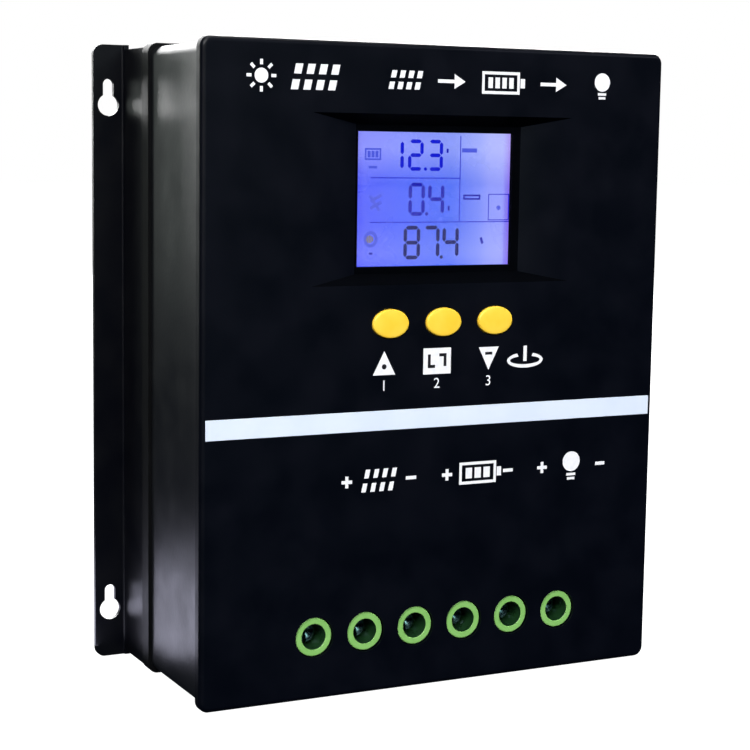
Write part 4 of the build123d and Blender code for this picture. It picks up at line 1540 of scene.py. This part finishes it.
@dataclass
class Internals:
    """Everything on and between the two boards."""
    pieces: tuple[KeptNode, ...] = (
        KeptNode("display_board", BOARD, "board_green"), KeptNode("main_board", BOARD, "board_green"),
        KeptNode("display_standoffs", BRASS, "spacer_brass", 0.2 * MM),
        KeptNode("board_standoffs", BRASS, "spacer_brass", 0.2 * MM),
        KeptNode("tact_switches", PACKAGE, "switch_black", 0.25 * MM),
        KeptNode("ribbon_headers", PACKAGE, "switch_black", 0.3 * MM),
        KeptNode("ribbon_cable", RIBBON, "ribbon_grey"),
        KeptNode("mosfets", PACKAGE, "switch_black", 0.15 * MM),
        KeptNode("thermal_pad", PAD, "pad_grey"), KeptNode("clamp_bar", BAR_STEEL, "bar_steel", 0.3 * MM),
        KeptNode("temperature_sensor", SENSOR, "sensor_body", 0.5 * MM),
        KeptNode("inductor_cores", CORE, "core_yellow", 0.8 * MM),
        KeptNode("inductor_windings", COPPER, "copper", 0.45 * MM),
        KeptNode("capacitors", CAN_SLEEVE, "can_black"),
        KeptNode("blade_fuses", FUSE, "fuse_orange", 0.4 * MM),
        KeptNode("current_shunts", COPPER, "copper", 0.5 * MM),
        KeptNode("controller_chip", PACKAGE, "switch_black", 0.15 * MM),
        KeptNode("beeper", PACKAGE, "switch_black", 0.5 * MM),
        KeptNode("terminal_busbars", COPPER, "copper", 0.25 * MM))

    def build(self) -> None:
        """Dresses each node, or builds its softened copy."""
        for kept in self.pieces:
            if kept.edge == 0.0:
                coat(kept.node, kept.finish)
                continue
            piece = copied(kept.node, f"{kept.node}_made")
            soften(piece, kept.edge)
            dress(piece, kept.finish, replaces=(kept.node,))


@dataclass(frozen=True)
class Lamp:
    """A square studio light: where it stands, what it faces, its size, power and colour."""
    name: str
    place: tuple[float, float, float]
    target: tuple[float, float, float]
    size: Point
    power: float
    colour: str = "#FFFFFF"
    shines_in_gloss: bool = True
    shines_on_matt: bool = True

    def build(self) -> None:
        """Adds the light, hidden from the camera."""
        data = bpy.data.lights.new(self.name, "AREA")
        data.shape = "RECTANGLE"
        data.size, data.size_y = self.size
        data.energy = self.power
        data.color = linear(self.colour)[:3]
        lamp = bpy.data.objects.new(self.name, data)
        lamp.location = self.place
        aim = Vector(self.target) - Vector(self.place)
        lamp.rotation_euler = aim.to_track_quat("-Z", "Y").to_euler()
        lamp.visible_camera = False
        lamp.visible_glossy = self.shines_in_gloss
        lamp.visible_diffuse = self.shines_on_matt
        bpy.context.scene.collection.objects.link(lamp)


@dataclass
class Studio:
    """Pale floor and backdrop, soft lights, and the camera."""
    floor_reach: float = 6.0
    sensor: float = 36.0
    lens: float = 87.6
    place: tuple[float, float, float] = (-0.2540, -0.5304, 0.0666)
    yaw: float = -0.4666
    pitch: float = 0.1256
    roll: float = 0.0149
    lamps: tuple[Lamp, ...] = (
        Lamp("key", (-0.9, -1.1, 1.0), (0, -0.05, 0), (0.7, 0.7), 26.0),
        Lamp("front_fill", (0.0, -1.6, 0.5), (0, 0, 0), (1.2, 0.8), 16.0, shines_in_gloss=False),
        Lamp("side_card", (-0.62, 0.85, 0.22), (-0.07, -0.03, 0.05), (0.8, 0.55), 0.84, "#EAF4EC"),
        Lamp("floor_card", (-0.106, 0.045, -0.0885), (-0.106, 0.045, 1.0), (0.048, 0.14), 0.052, "#E6E6FF"),
        Lamp("spark", (0.05, -1.5, 0.28), (0, -0.07, -0.06), (0.3, 0.2), 0.9, "#DDF4F0",
             shines_on_matt=False),
        Lamp("panel_glow", (0.9, -0.9, 0.75), (0.05, -0.07, 0.08), (0.5, 0.25), 2.0, "#E8ECFF"),
        Lamp("top", (0.0, 0.0, 1.3), (0, 0, 0), (0.8, 0.8), 8.0),
        Lamp("rear_right", (0.8, 1.2, 0.6), (0, 0, 0), (0.8, 0.8), 45.0),
        Lamp("rear_fill", (0.1, 1.5, 0.35), (0, 0, 0), (1.0, 0.7), 30.0))

    def build(self) -> None:
        """Builds the whole set."""
        self.floor()
        self.world()
        for lamp in self.lamps:
            lamp.build()
        self.camera()

    def floor(self) -> None:
        """A pale matt floor under the object, which glossy faces don't mirror."""
        bm = bmesh.new()
        bmesh.ops.create_grid(bm, x_segments=2, y_segments=2, size=self.floor_reach,
                              matrix=Matrix.Translation((0, 0, CAD_BOX[0][2])))
        floor = to_object(bm, "floor")
        floor.data.materials.append(FLOOR_PAINT.material())
        floor.visible_glossy = False
        floor.visible_diffuse = False

    def world(self) -> None:
        """White behind the object, and a dim bluish room for everything that the lights leave."""
        world = bpy.data.worlds.new("studio")
        world.use_nodes = True
        tree = world.node_tree
        tree.nodes.clear()
        room = add(tree, "ShaderNodeBackground", {"Color": linear("#B4C2E6"), "Strength": 0.03})
        sky = add(tree, "ShaderNodeBackground", {"Color": linear("#FFFFFF"), "Strength": 1.0})
        seen = add(tree, "ShaderNodeLightPath").outputs["Is Camera Ray"]
        mixed = add(tree, "ShaderNodeMixShader", {0: seen, 1: room.outputs[0], 2: sky.outputs[0]})
        add(tree, "ShaderNodeOutputWorld", {"Surface": mixed.outputs[0]})
        bpy.context.scene.world = world
        bpy.context.scene.view_settings.view_transform = "Standard"

    def camera(self) -> None:
        """The camera: a long lens from the left, a little above the middle."""
        data = bpy.data.cameras.new("camera")
        data.sensor_width, data.lens = self.sensor, self.lens
        data.clip_start, data.clip_end = 0.01, 50.0
        camera = bpy.data.objects.new("camera", data)
        level = Matrix.Rotation(math.radians(90), 4, "X")
        turn = Matrix.Rotation(self.yaw, 4, "Z") @ level @ Matrix.Rotation(-self.pitch, 4, "X")
        camera.matrix_world = Matrix.Translation(self.place) @ turn @ Matrix.Rotation(self.roll, 4, "Z")
        bpy.context.scene.collection.objects.link(camera)
        bpy.context.scene.camera = camera


def main() -> None:
    """Builds each sub-assembly in order."""
    logging.basicConfig(level=logging.INFO, format="%(name)s: %(message)s")
    for assembly in (Studio(), Panel(), Prints(), Display(), Buttons(), Terminals(), Shell(), Fasteners(),
                     Internals()):
        assembly.build()


if __name__ == "__main__":
    main()
